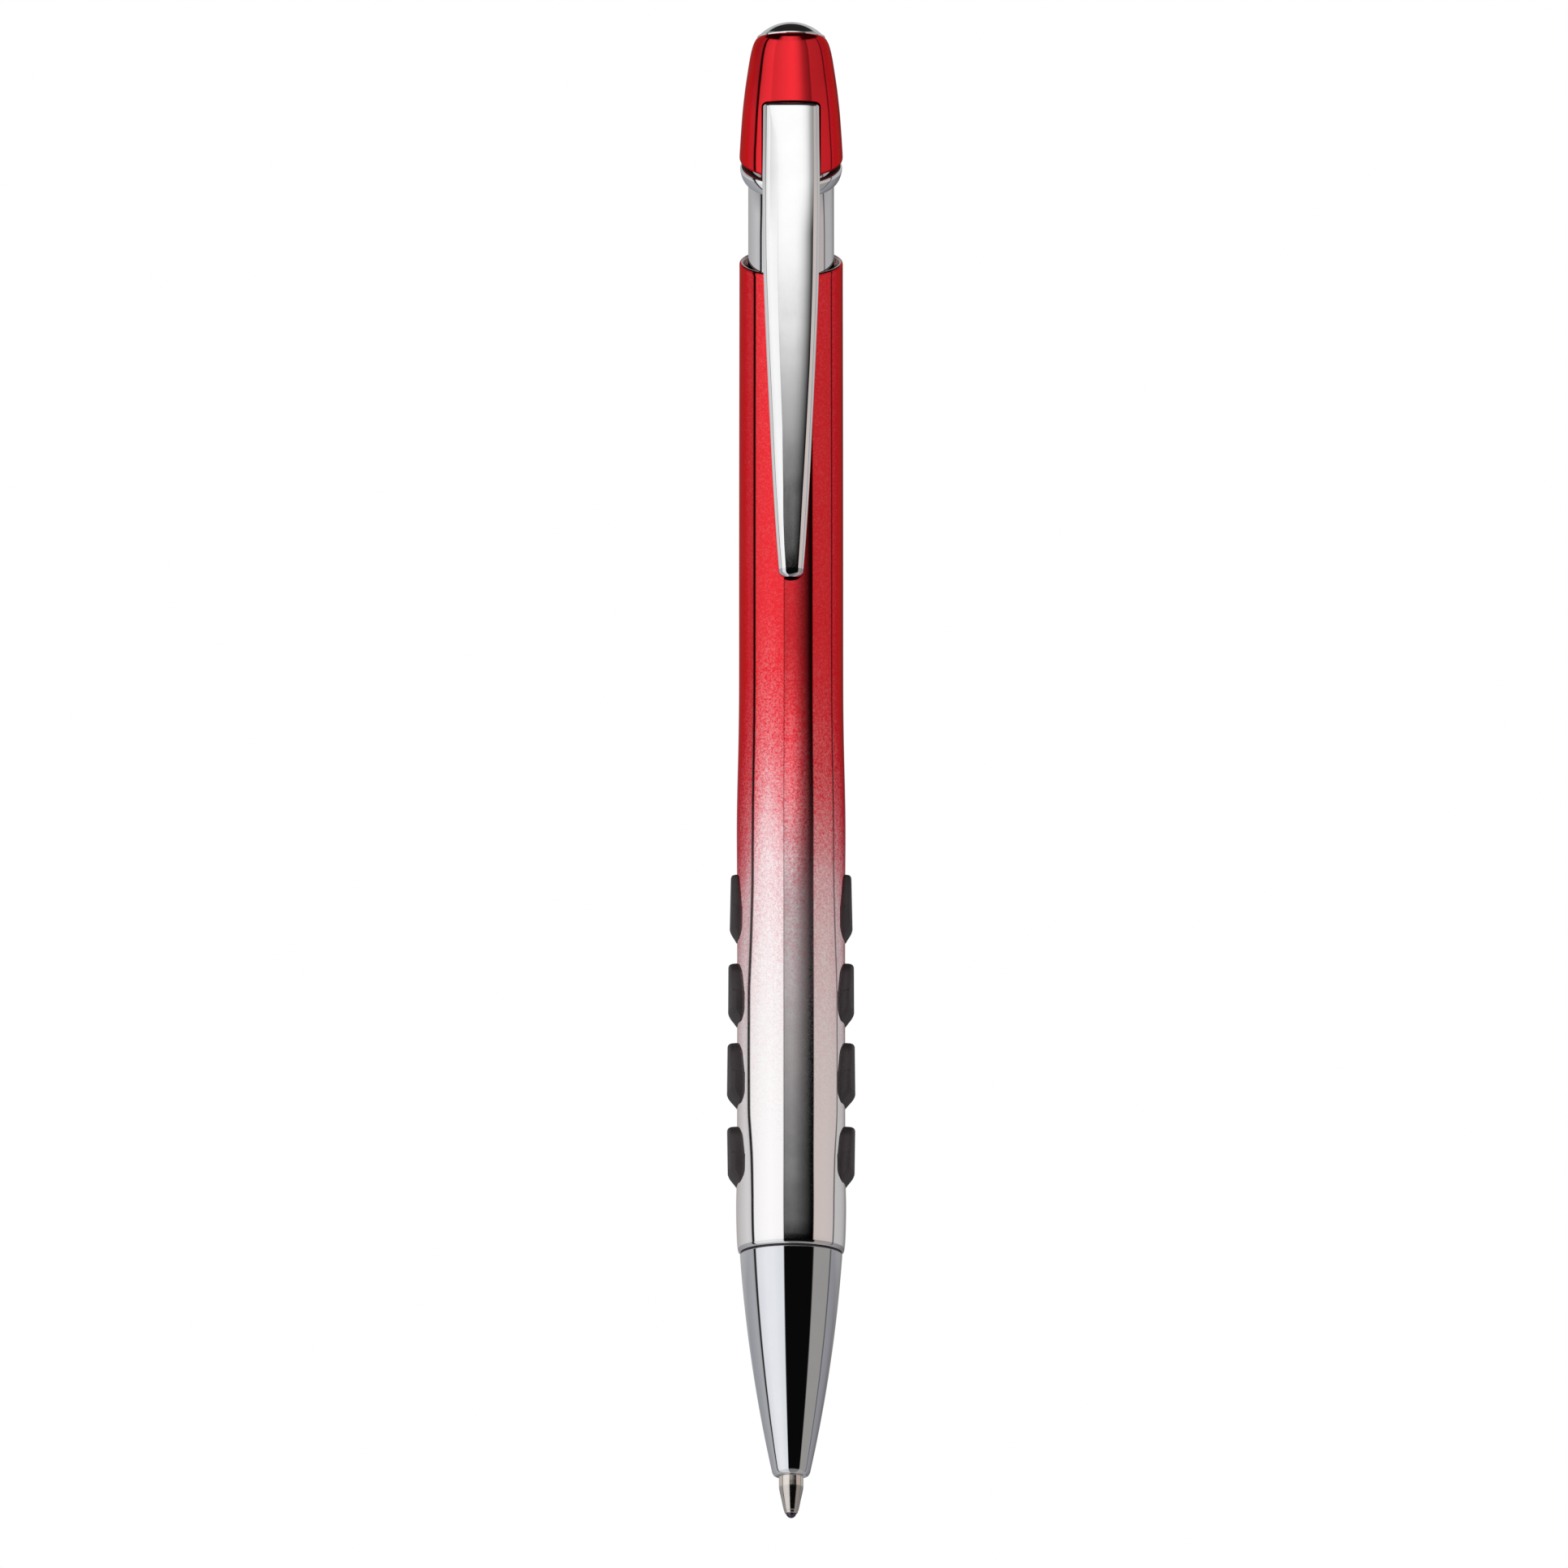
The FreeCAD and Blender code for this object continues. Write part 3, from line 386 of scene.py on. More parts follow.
def barrel_fade():
    """Red lacquer sprayed off to bare chrome towards the nose: a smooth
    fade with a very fine mist in it, carried further down round the sides."""
    k = Material("barrel_fade")
    xyz = k.split(k.coords())
    drift = k.ramp(k.turn(xyz), by_turn([(d, v / DRIFT_UNIT) for d, v in FADE_DRIFT]))
    cloud = k.noise(scale=120.0, detail=3.0, rough=0.55)
    wander = k.math("MULTIPLY", k.math("SUBTRACT", cloud, 0.5), 0.004)
    height = k.math("ADD", xyz["Z"], k.math("MULTIPLY", drift, DRIFT_UNIT * MM))
    height = k.math("ADD", height, wander)
    share = k.math("DIVIDE", k.math("SUBTRACT", height, FADE_START), FADE_LENGTH, clamp=True)
    amount = k.ramp(share, FADE_AMOUNT)

    # the mist is strongest halfway along the fade
    fine = k.noise(scale=6400.0, detail=1.5, rough=0.5)
    middling = k.noise(scale=2900.0, detail=2.0, rough=0.55)
    grain = k.weighted(
        k.math("SUBTRACT", fine, 0.5), 2.0, k.math("SUBTRACT", middling, 0.5), 1.0
    )
    halfway = k.math("MULTIPLY", amount, k.math("SUBTRACT", 1.0, amount))
    spread = k.math("MULTIPLY", k.math("POWER", halfway, 0.62), 1.25)
    cover = k.math("ADD", amount, k.math("MULTIPLY", grain, spread), clamp=True)

    smudge = k.noise(scale=240.0, detail=4.0, rough=0.6)
    red = k.mix(k.remap(smudge), LACQUER, LACQUER_SMUDGED)
    thin_pink = (0.72, 0.050, 0.155)
    paint = k.mix(amount, thin_pink, red)
    k.set("Base Color", k.mix(cover, (0.90, 0.885, 0.885), paint))
    k.set("Specular Tint", k.mix(cover, (1.0, 0.96, 0.97), (0.82, 0.12, 0.18)))
    # loose droplets are less metallic and rougher
    droplets = k.math("MULTIPLY", cover, k.math("SUBTRACT", 1.0, amount))
    matt = k.math("MULTIPLY", droplets, 0.24)
    k.set("Metallic", k.math("SUBTRACT", 1.0, matt))
    gloss = k.remap(smudge, to=(0.035, 0.06))
    k.set("Roughness", k.math("ADD", gloss, k.math("MULTIPLY", matt, 0.35)))
    k.set("Coat Weight", k.math("MULTIPLY", amount, LACQUER_COAT))
    k.set("Coat Roughness", COAT_ROUGH)
    wave = k.noise(scale=150.0, detail=1.0, rough=0.4, stretch=(1.0, 1.0, 0.10))
    k.set("Normal", k.bump(wave, distance=0.9e-5, strength=0.07))
    return k.data


def inner_metal():
    k = Material("bare_inner_metal")
    marks = k.noise(scale=900.0, detail=3.0, rough=0.6, stretch=(1.0, 1.0, 3.0))
    k.set("Metallic", 1.0)
    k.set("Base Color", k.mix(marks, (0.30, 0.27, 0.26), (0.20, 0.17, 0.17)))
    k.set("Roughness", k.remap(marks, source=NOISE_WIDE, to=(0.22, 0.38)))
    k.set("Normal", k.bump(marks, distance=4e-6, strength=0.4))
    return k.data


def rubber(name):
    k = Material(name)
    grain = k.noise(scale=9000.0, detail=3.0, rough=0.6)
    cloud = k.noise(scale=420.0, detail=4.0, rough=0.6)
    k.set("Base Color", k.mix(k.remap(cloud), (0.031, 0.024, 0.026), (0.044, 0.035, 0.037)))
    k.set("Roughness", k.remap(k.weighted(cloud, 0.6, grain, 0.4), to=(0.46, 0.62)))
    k.set("Specular IOR Level", 0.42)
    broad = k.bump(cloud, distance=3e-5, strength=0.3)
    k.set("Normal", k.bump(grain, distance=7e-6, strength=0.6, under=broad))
    return k.data


def nickel():
    k = Material("nickel_silver")
    turned = k.noise(scale=900.0, detail=2.0, rough=0.6, stretch=(0.15, 0.15, 14.0))
    cloud = k.noise(scale=900.0, detail=3.0, rough=0.6)
    k.set("Metallic", 1.0)
    k.set("Base Color", k.mix(cloud, (0.80, 0.745, 0.69), (0.70, 0.64, 0.585)))
    k.set("Roughness", k.remap(turned, source=NOISE_WIDE, to=(0.08, 0.17)))
    k.set("Normal", k.bump(turned, distance=1.2e-6, strength=0.12))
    return k.data


def plain(name, colour, other, rough, metallic=0.0, scale=1200.0):
    """Two close colours clouded together, with a range of roughness."""
    k = Material(name)
    cloud = k.noise(scale=scale, detail=3.0, rough=0.6)
    k.set("Base Color", k.mix(cloud, colour, other))
    k.set("Metallic", metallic)
    k.set("Roughness", k.remap(cloud, source=NOISE_WIDE, to=rough))
    k.set("Normal", k.bump(cloud, distance=5e-6, strength=0.4))
    return k.data


chrome = polished("chrome_plate", (0.90, 0.905, 0.915))
chrome_clip = polished("chrome_clip", (0.875, 0.875, 0.885), rough=(0.03, 0.07))
chrome_tube = polished("chrome_tube", (0.745, 0.735, 0.755), rough=(0.035, 0.08))
cap_red = red_lacquer("cap_red")
barrel_mat = barrel_fade()
inner_mat = inner_metal()
rubber_mat = rubber("grip_rubber")
nickel_mat = nickel()

SLOT_MATERIALS = {
    "barrel_finish": barrel_mat,
    "red_lacquer": cap_red,
    "chrome_plate": chrome,
    "grip_rubber": rubber_mat,
    "brass_turned": plain(
        "turned_brass", (0.80, 0.60, 0.30), (0.68, 0.49, 0.22), rough=(0.16, 0.30), metallic=1.0
    ),
    "dark_plastic": plain(
        "dark_moulding", (0.030, 0.026, 0.028), (0.045, 0.040, 0.042), rough=(0.42, 0.58)
    ),
    "white_plastic": plain(
        "white_acetal", (0.78, 0.78, 0.75), (0.70, 0.70, 0.67), rough=(0.34, 0.5)
    ),
    "refill_plastic": plain(
        "refill_tube_plastic", (0.80, 0.82, 0.84), (0.72, 0.74, 0.77), rough=(0.18, 0.3)
    ),
    "ink": plain("ink", (0.010, 0.010, 0.022), (0.018, 0.016, 0.03), rough=(0.08, 0.16)),
    "nickel_silver": nickel_mat,
    "carbide": plain(
        "ball_carbide", (0.16, 0.13, 0.17), (0.09, 0.07, 0.10), rough=(0.12, 0.28),
        metallic=1.0, scale=5200.0,
    ),
    "spring_steel": plain(
        "spring_wire", (0.66, 0.66, 0.68), (0.56, 0.56, 0.58), rough=(0.16, 0.28), metallic=1.0
    ),
}
slot_of = {p["node"]: p["material_slot"] for p in frame["record"]["subparts"]}
for node, ob in frame["nodes"].items():
    ob.data.materials.clear()
    ob.data.materials.append(SLOT_MATERIALS[slot_of[node]])

# =====================================================================
# Return spring: seated in the nose, a copy of the model's spring as it stands
# =====================================================================


def build_spring():
    source = frame["nodes"]["return_spring"]
    coil = bpy.data.objects.new("return_coil", source.data.copy())
    coil.data.transform(source.matrix_world)
    scene.collection.objects.link(coil)
    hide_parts("return_spring")
    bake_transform(coil)


build_spring()

# =====================================================================
# Barrel
# =====================================================================

# (r, z) of the rolled lower edge, after two points on its underside
BARREL_UNDERSIDE = [(4.62, 25.37), (4.80, 25.352)]
BARREL_EDGE = [(4.870, 25.375), (4.935, 25.44), (4.985, 25.56), (5.020, 25.74), (5.050, 25.98)]
# (r, z) of the outside
BARREL_SIDE = [
    (5.078, 26.30), (5.105, 26.80), (5.130, 27.50), (5.154, 28.50), (5.164, 29.50), (5.160, 30.30),
    (5.137, 31.30), (5.110, 32.60), (5.090, 34.50), (5.081, 37.00), (5.076, 42.00), (5.072, 48.00),
    (5.072, 54.00), (5.077, 58.50), (5.088, 61.50), (5.106, 63.80), (5.112, 65.60), (5.100, 67.40),
    (5.062, 69.50), (5.012, 71.60), (4.966, 73.60), (4.929, 75.80), (4.905, 78.20), (4.896, 82.00),
    (4.895, 90.00), (4.889, 100.0), (4.874, 110.0), (4.862, 117.0),
]
# (r, z) over the slanted top rim
BARREL_RIM = [
    (4.860, 119.60), (4.860, 119.84), (4.846, 119.95), (4.812, 120.04), (4.765, 120.09),
    (4.710, 120.105), (4.560, 120.105), (4.535, 120.095), (4.505, 120.06), (4.480, 119.99),
    (4.470, 119.90),
]
RIM_BARE_FROM = 5           # rows up the rim that are still lacquered
BARREL_BORE_TOP = [(4.468, 119.0), (4.468, 116.5)]
BARREL_BORE_LOW = [(4.455, 60.0), (4.455, 26.0), (4.48, 25.5)]
LEAN_FULL = 116.0           # the rows lean as much as the rim from here up
LEAN_START_SIDE = 104.0
LEAN_START_BORE = 100.0

# The reflections show how straight the tube is to a fraction of a degree.
# (z, degrees that the side's normals tip upwards)
BARREL_TILT = [
    (25.7, -0.9), (26.2, -0.35), (27.5, -0.19), (29, -0.17), (31, -0.15), (34, -0.12), (38, -0.08),
    (42, -0.04), (46, 0.0), (50, 0.06), (54, 0.09), (58, 0.11), (62, 0.25), (65.6, 0.5),
    (68, 0.85), (72, 1.15), (75, 0.8), (78, 0.35), (82, 0.20), (118, 0.20),
]
# (z, share of WAIST_TURN): between the grips the normals turn to the front
BARREL_WAIST = [
    (30, 0.0), (34, 0.35), (38, 0.95), (44, 1.0), (50, 0.95), (55, 0.5), (60, 0.15), (66, 0.0),
]
WAIST_TURN = math.radians(7.5)
WAIST_CENTRE = math.radians(56)     # from the front, on both sides
WAIST_SPREAD = math.radians(19)
TUNED_R_MIN = 4.85                  # only the side's own normals are tuned
TUNED_Z = (25.72, 117.2)


def rim_lean(z, start):
    t = min(max((z - start) / (LEAN_FULL - start), 0.0), 1.0)
    return RIM_TAN * t * t * (3 - 2 * t)


def build_barrel():
    rows = BARREL_UNDERSIDE + smooth(BARREL_EDGE, per=3)
    rows += [(r, z, rim_lean(z, LEAN_START_SIDE)) for r, z in smooth(BARREL_SIDE, per=6)]
    rim_start = len(rows)
    rows += [(r, z, RIM_TAN) for r, z in BARREL_RIM]
    inner_start = len(rows)
    rows += [(r, z, RIM_TAN) for r, z in BARREL_BORE_TOP]
    rows += [(4.462, z, rim_lean(z, LEAN_START_BORE)) for z in (112.0, 108.0, 104.0, 100.0)]
    rows += BARREL_BORE_LOW

    def row_mat(i):
        if i >= inner_start:
            return 2
        return 1 if i >= rim_start + RIM_BARE_FROM else 0

    def tuned_normals(normals):
        normals = normals.copy()
        phi = np.linspace(0, 2 * math.pi, normals.shape[1], endpoint=False)
        from_front = np.arctan2(np.cos(phi), -np.sin(phi))      # + to the right
        bulge = np.exp(-(((np.abs(from_front) - WAIST_CENTRE) / WAIST_SPREAD) ** 2))
        for i, (r, z, *_) in enumerate(rows):
            if r < TUNED_R_MIN or not TUNED_Z[0] <= z <= TUNED_Z[1]:
                continue
            tilt = math.radians(lerp_table(BARREL_TILT, z))
            waist = lerp_table(BARREL_WAIST, z)
            angle = from_front - WAIST_TURN * waist * np.sign(from_front) * bulge
            normals[i, :, 0] = np.sin(angle) * math.cos(tilt)
            normals[i, :, 1] = -np.cos(angle) * math.cos(tilt)
            normals[i, :, 2] = math.sin(tilt)
        return normals

    rim_mat = polished("rim_metal", (0.50, 0.40, 0.40), rough=(0.06, 0.14))
    lathe(
        "barrel_shell", rows, "barrel_assembly", seg=288, row_mat=row_mat,
        normal_fn=tuned_normals, replaces="barrel", slot="barrel_finish",
        materials=[barrel_mat, rim_mat, inner_mat],
    )


build_barrel()

# =====================================================================
# Nose cone and seal ring
# =====================================================================

# (r, z) up the bore and round the lip at the tip
NOSE_LIP = [
    (1.23, 9.4), (1.23, 4.30), (1.245, 4.16), (1.285, 4.06), (1.345, 4.0), (1.42, 3.985),
    (1.50, 3.995), (1.575, 4.03), (1.645, 4.09), (1.700, 4.18),
]
# the outside is an arc
OGIVE_RADIUS = 142.3707
OGIVE_CENTRE_R = -137.2074
OGIVE_CENTRE_Z = 35.1683
NOSE_SHOULDER = [(4.785, 25.145), (4.76, 25.165), (4.70, 25.17)]
THREAD_R = 3.93
THREAD_ROOT = 3.70
THREAD_START, THREAD_PITCH, THREAD_TURNS = 25.75, 1.0, 7
# (r, rise from the start of the turn)
THREAD_TURN = [
    (THREAD_R, 0), (THREAD_R, 0.10), (THREAD_ROOT, 0.42), (THREAD_ROOT, 0.58), (THREAD_R, 0.90),
]
# (r, z) over the top of the threaded neck and down the bore
NOSE_BORE = [
    (THREAD_R, 32.7), (3.60, 33.0), (2.70, 33.0), (2.70, 15.6), (2.10, 14.1), (2.10, 9.4),
]
SEAL_RING = [
    (3.985, 25.19), (4.70, 25.186), (4.735, 25.195), (4.752, 25.225), (4.752, 25.285),
    (4.735, 25.312), (4.70, 25.322), (3.985, 25.32),
]


def ogive(z):
    return OGIVE_CENTRE_R + math.sqrt(OGIVE_RADIUS ** 2 - (z - OGIVE_CENTRE_Z) ** 2)


def build_nose():
    rows = NOSE_LIP + [(ogive(z), z) for z in np.linspace(4.34, 25.10, 92)]
    cone_edge = len(rows) - 1
    rows += NOSE_SHOULDER
    shoulder_end = len(rows) - 1
    rows += [(3.97, 25.172), (THREAD_R, 25.25), (THREAD_ROOT, 25.35), (THREAD_ROOT, 25.65)]
    for turn in range(THREAD_TURNS):
        rows += [(r, THREAD_START + THREAD_PITCH * turn + rise) for r, rise in THREAD_TURN]
    rows += NOSE_BORE
    lathe(
        "nose_cone_shell", rows, "nose", corners={0, cone_edge, *range(shoulder_end, len(rows))},
        replaces="nose_cone", slot="chrome_plate",
        materials=[polished("chrome_nose", (0.90, 0.905, 0.92), rough=(0.02, 0.05))],
    )


build_nose()
lathe(
    "seal_ring_band", SEAL_RING, "seal_ring", seg=160, corners=(0, -1),
    replaces="nose_seal_ring", slot="grip_rubber", materials=[rubber("ring_rubber")],
)

# =====================================================================
# Refill point and ball
# =====================================================================

# (r, z) down the bore and round the lip that holds the ball
POINT_LIP = [
    (0.30, 16.9), (0.30, 1.15), (0.505, 0.74), (0.505, 0.50), (0.520, 0.440), (0.560, 0.425),
    (0.598, 0.455), (0.617, 0.53), (0.640, 0.62), (0.672, 0.70), (0.700, 0.765),
]
POINT_CONE = [
    (0.715, 0.82), (0.800, 1.20), (0.897, 1.67), (1.000, 2.13), (1.090, 2.56), (1.128, 2.78),
    (1.146, 2.95), (1.150, 3.15),
]
POINT_SHANK = [(1.150, 4.0), (1.150, 11.4), (1.11, 11.58), (0.93, 11.6), (0.93, 17.0), (0.32, 17.0)]
BALL_R = 0.49
BALL_STEPS = 40             # from pole to pole

lathe(
    "point_shell", POINT_LIP + smooth(POINT_CONE, per=4) + POINT_SHANK, "refill", seg=160,
    corners=(0, 1, len(POINT_LIP) - 1, -4, -3, -2, -1),
    replaces="refill_point", slot="nickel_silver", materials=[nickel_mat],
)


def build_ball():
    rows = []
    for k in range(1, BALL_STEPS):
        a = -math.pi / 2 + math.pi * k / BALL_STEPS
        rows.append((BALL_R * math.cos(a), BALL_R + BALL_R * math.sin(a)))
    lathe(
        "ball_bead", rows, "writing_ball", seg=72, closed=False,
        replaces="refill_ball", slot="carbide", materials=[SLOT_MATERIALS["carbide"]],
    )


build_ball()

# =====================================================================
# Plunger tube and collar
# =====================================================================

PLUNGER = [
    (3.65, 110.0), (3.93, 110.0), (4.005, 110.06), (4.03, 110.2), (4.03, 116.0), (4.03, 122.0),
    (4.03, 130.5), (4.0, 130.6), (3.65, 130.6),
]
COLLAR_BASE = 127.66
# (r, height above the base): the bowl's outside, then its inside
COLLAR_BOWL = [
    (4.045, 0.0), (4.13, 0.035), (4.25, 0.12), (4.41, 0.29), (4.56, 0.53), (4.68, 0.82),
    (4.755, 1.10), (4.786, 1.34), (4.772, 1.52), (4.70, 1.66), (4.58, 1.72),
]
COLLAR_INSIDE = [(4.32, 1.70), (4.25, 1.55), (4.045, 1.5)]

lathe(
    "plunger_sleeve", PLUNGER, "push_cap", corners=(0, 1, 8, 7),
    replaces="plunger_tube", slot="chrome_plate", materials=[chrome_tube],
)


def build_collar():
    bowl = smooth(COLLAR_BOWL, per=5)
    painted_shade_from = len(bowl) - 3       # the upper face inside the lip, painted dark reddish brown as the shade in the gap under the cap
    # painted shade: a rough dark red-brown standing for the shadow between cap and collar and the
    # red cap's dim reflection in it
    shade = plain("collar_gap_painted_shade", (0.030, 0.010, 0.012), (0.040, 0.014, 0.016), rough=(0.50, 0.62))
    lathe(
        "collar_bowl", [(r, COLLAR_BASE + rise, COLLAR_TAN) for r, rise in bowl + COLLAR_INSIDE],
        "push_cap", corners=(0, -1, -2, -3), row_mat=lambda i: 1 if i >= painted_shade_from else 0,
        replaces="collar", slot="chrome_plate", materials=[chrome, shade],
    )


build_collar()

# =====================================================================
# Cap shell, with the clip's slot open at the lower front
# =====================================================================

# (r, z) of the outside
CAP_SIDE = np.array(smooth([
    (4.885, 126.4), (4.880, 127.6), (4.870, 128.8), (4.845, 130.3), (4.803, 131.05),
    (4.758, 131.8), (4.703, 132.6), (4.648, 133.4), (4.585, 134.2), (4.512, 134.95),
    (4.430, 135.7), (4.336, 136.5), (4.232, 137.25), (4.120, 138.0), (4.005, 138.75),
    (3.880, 139.5), (3.735, 140.2), (3.560, 140.8), (3.400, 141.15), (3.285, 141.32),
], per=8))
CAP_WALL = 0.45
CAP_RIM = 129.85
# (rise above the rim, inset) of the rounded lower lip
CAP_LIP = [(0.0, 0.26), (0.015, 0.17), (0.05, 0.10), (0.11, 0.045), (0.19, 0.012), (0.28, 0.0)]
LIP_THINNING = 0.2          # most that the lip's inset takes off the wall
LEAN_LOW, LEAN_END = 130.1, 133.6   # over this height the rows straighten out to level
# (r, z) of the fold over the top edge, down to the finial's seat
CAP_FOLD = [(3.24, 141.345), (3.18, 141.36), (2.95, 141.36)]
FOLD_INSET, FOLD_DROP = 0.25, 0.4   # from the fold's outside to its inside
SLOT_TOP, SLOT_HALF, SLOT_ROUND = 134.66, 2.78, 0.48
SLOT_ROUND_ROWS = 9
COLS_OUTSIDE, COLS_SLOT = 200, 40   # columns beside the slot and across it


def cap_radius(z):
    return float(np.interp(z, CAP_SIDE[:, 1], CAP_SIDE[:, 0]))


def slot_half(z):
    """Half the slot's width, narrowing round its upper corners."""
    low = SLOT_TOP - SLOT_ROUND
    if z <= low:
        return SLOT_HALF
    t = min((z - low) / SLOT_ROUND, 1.0)
    return SLOT_HALF - SLOT_ROUND + SLOT_ROUND * math.sqrt(max(1 - t * t, 0.0))


def column_angle(half_angle, j):
    """Angle from the front of column j, for a slot of the given half angle."""
    if j <= COLS_OUTSIDE:
        return half_angle + (2 * math.pi - 2 * half_angle) * j / COLS_OUTSIDE
    return -half_angle + 2 * half_angle * (j - COLS_OUTSIDE) / COLS_SLOT


def cap_rows():
    """Rows (z, inset, share of the lean), and the row at the slot's top."""
    low = SLOT_TOP - SLOT_ROUND
    rows = [(CAP_RIM + rise, inset, 1.0) for rise, inset in CAP_LIP]
    for z in np.linspace(130.35, 133.55, 18):
        rows.append((z, 0.0, (LEAN_END - z) / (LEAN_END - LEAN_LOW)))
    rows += [(z, 0.0, 0.0) for z in np.linspace(133.74, low, 4)]
    for k in range(1, SLOT_ROUND_ROWS + 1):
        rise = SLOT_ROUND * math.sin(k / SLOT_ROUND_ROWS * math.pi / 2)
        rows.append((low + rise, 0.0, 0.0))
    slot_row = len(rows) - 1
    rows += [(z, 0.0, 0.0) for z in np.linspace(134.84, 141.30, 58)]
    return rows, slot_row


def cap_grids(rows):
    """Grids of points for the outside and the inside."""
    cols = COLS_OUTSIDE + COLS_SLOT
    outer = np.zeros((len(rows) + len(CAP_FOLD), cols, 3))
    inner = np.zeros_like(outer)
    for i, (height, inset, share) in enumerate(rows):
        half = slot_half(min(height, SLOT_TOP))
        lean = share * CAP_TAN
        for j in range(cols):
            z = height
            # radius and height depend on each other, so home in on both
            for _ in range(8):
                r = cap_radius(z) - inset
                angle = column_angle(math.asin(min(half / r, 0.99)), j)
                y = -r * math.cos(angle)
                z = height + lean * y
            inner_r = r - CAP_WALL + min(inset, LIP_THINNING)
            inner_y = -inner_r * math.cos(angle)
            outer[i, j] = (r * math.sin(angle), y, z)
            inner[i, j] = (inner_r * math.sin(angle), inner_y, z + lean * (inner_y - y))
    half_angle = math.asin(slot_half(SLOT_TOP) / cap_radius(SLOT_TOP))
    for i, (r, z) in enumerate(CAP_FOLD, start=len(rows)):
        inner_r = r - FOLD_INSET
        for j in range(cols):
            angle = column_angle(half_angle, j)
            sin, cos = math.sin(angle), math.cos(angle)
            outer[i, j] = (r * sin, -r * cos, z)
            inner[i, j] = (inner_r * sin, -inner_r * cos, z - FOLD_DROP)
    return outer, inner


def build_cap():
    rows, slot_row = cap_rows()
    outer, inner = cap_grids(rows)
    n, cols, _ = outer.shape
    around = np.roll(outer, -1, axis=1) - np.roll(outer, 1, axis=1)
    along = np.zeros_like(outer)
    along[1:-1] = outer[2:] - outer[:-2]
    along[0] = outer[1] - outer[0]
    along[-1] = outer[-1] - outer[-2]
    surface = unit(np.cross(around, along))
    verts = np.vstack([outer.reshape(-1, 3), inner.reshape(-1, 3)]) * MM

    inside = n * cols       # from an outside vertex to the inside one behind it
    faces, normals, edges = [], [], []
    for i in range(n - 1):
        for j in range(cols):
            if i < slot_row and j >= COLS_OUTSIDE:
                continue
            m = (j + 1) % cols
            a, b, c, d = i * cols + j, i * cols + m, (i + 1) * cols + m, (i + 1) * cols + j
            faces.append((a, b, c, d))
            normals += [surface[i, j], surface[i, m], surface[i + 1, m], surface[i + 1, j]]
            edges += [(a, b), (b, c), (c, d), (d, a)]
    count = len(faces)
    for f in range(count):
        faces.append(tuple(inside + v for v in faces[f][::-1]))
        normals += [-normal for normal in normals[4 * f:4 * f + 4][::-1]]
    mats = [0] * count + [1] * count

    # wall up the open edges: the rim, the slot and the top, in the dark edge material that paints
    # shade on them
    known = set(edges)
    for a, b in edges:
        if (b, a) in known:
            continue
        faces.append((b, a, inside + a, inside + b))
        facing = unit(np.cross(verts[a] - verts[b], verts[inside + a] - verts[a]))
        normals += [facing] * 4
        mats.append(2)

    # leave out the vertices inside the slot
    used = sorted({v for f in faces for v in f})
    renumber = {v: i for i, v in enumerate(used)}
    faces = [tuple(renumber[v] for v in f) for f in faces]
    # painted shade: the edge walls are dark red-brown, for the shadow band under the cap's rim and
    # the dark gap round the clip's slot
    shaded_edge_mat = polished("cap_edge_painted_shade", (0.16, 0.055, 0.055), rough=(0.14, 0.25))
    make_object(
        "cap_housing", verts[used], faces, mats, normals, "push_cap",
        replaces="cap_shell", slot="red_lacquer", materials=[cap_red, inner_mat, shaded_edge_mat],
    )


build_cap()

# =====================================================================
# Finial
# =====================================================================

AXIS_R = 0.002              # a section that stops at the axis ends just short of it
FINIAL_FOOT = 133.4
# (r, z) from the foot of the stem to the rolled rim of the head
FINIAL_STEM = [
    (AXIS_R, FINIAL_FOOT), (0.8, FINIAL_FOOT), (1.0, 133.6), (1.0, 141.35), (3.14, 141.352),
    (3.185, 141.37), (3.20, 141.42), (3.198, 141.50), (3.165, 141.60),
]
DOME_RADIUS, DOME_EDGE_R, DOME_TOP = 4.18, 3.19, 142.95
DOME_STEPS = 33


def build_finial():
    rows = list(FINIAL_STEM)
    # the rolled rim takes the place of the dome's first step
    for k in range(2, DOME_STEPS):
        a = math.asin(DOME_EDGE_R / DOME_RADIUS) * (1 - k / DOME_STEPS)
        z = DOME_TOP - DOME_RADIUS + DOME_RADIUS * math.cos(a)
        rows.append((DOME_RADIUS * math.sin(a), z))
    rows.append((AXIS_R, DOME_TOP))
    lathe(
        "finial_dome", rows, "push_cap", seg=200, closed=False, corners=(1, 2, 3, 4),
        replaces="finial", slot="chrome_plate", materials=[chrome],
    )


build_finial()

# =====================================================================
# Clip
# =====================================================================


def against_height(points, per):
    """Smooth (value, z) points that run downwards; gives z and values, upwards."""
    curve = np.array(smooth(points, per=per))[::-1]
    return curve[:, 1], curve[:, 0]


# (y, z) of the foremost line of the face
CLIP_FACE = against_height([
    (-4.68, 134.56), (-5.08, 132.0), (-5.55, 129.0), (-5.98, 125.5), (-6.28, 121.0),
    (-6.40, 116.0), (-6.40, 110.0), (-6.32, 103.0), (-6.20, 96.0), (-6.10, 88.6),
], per=10)
# (half width, z)
CLIP_HALF_WIDTH = against_height([
    (2.63, 134.56), (2.655, 131.0), (2.69, 127.0), (2.675, 122.5), (2.60, 118.0), (2.38, 112.0),
    (2.07, 105.0), (1.75, 98.2), (1.40, 92.5), (1.14, 89.1), (1.12, 88.6),
], per=8)
# (z, degrees that the face's normals tip upwards)
FACE_TILT = [
    (89.0, -0.65), (90.6, -0.40), (92.2, -0.28), (94.2, -0.215), (97.2, -0.165), (100.2, -0.06),
    (103.2, 0.03), (106.2, 0.095), (109.2, 0.17), (112.2, 0.26), (115.2, 0.42), (118, 0.8),
    (120.5, 1.8), (124, 4.2), (128, 6.5), (132, 8.6), (135, 9.8),
]
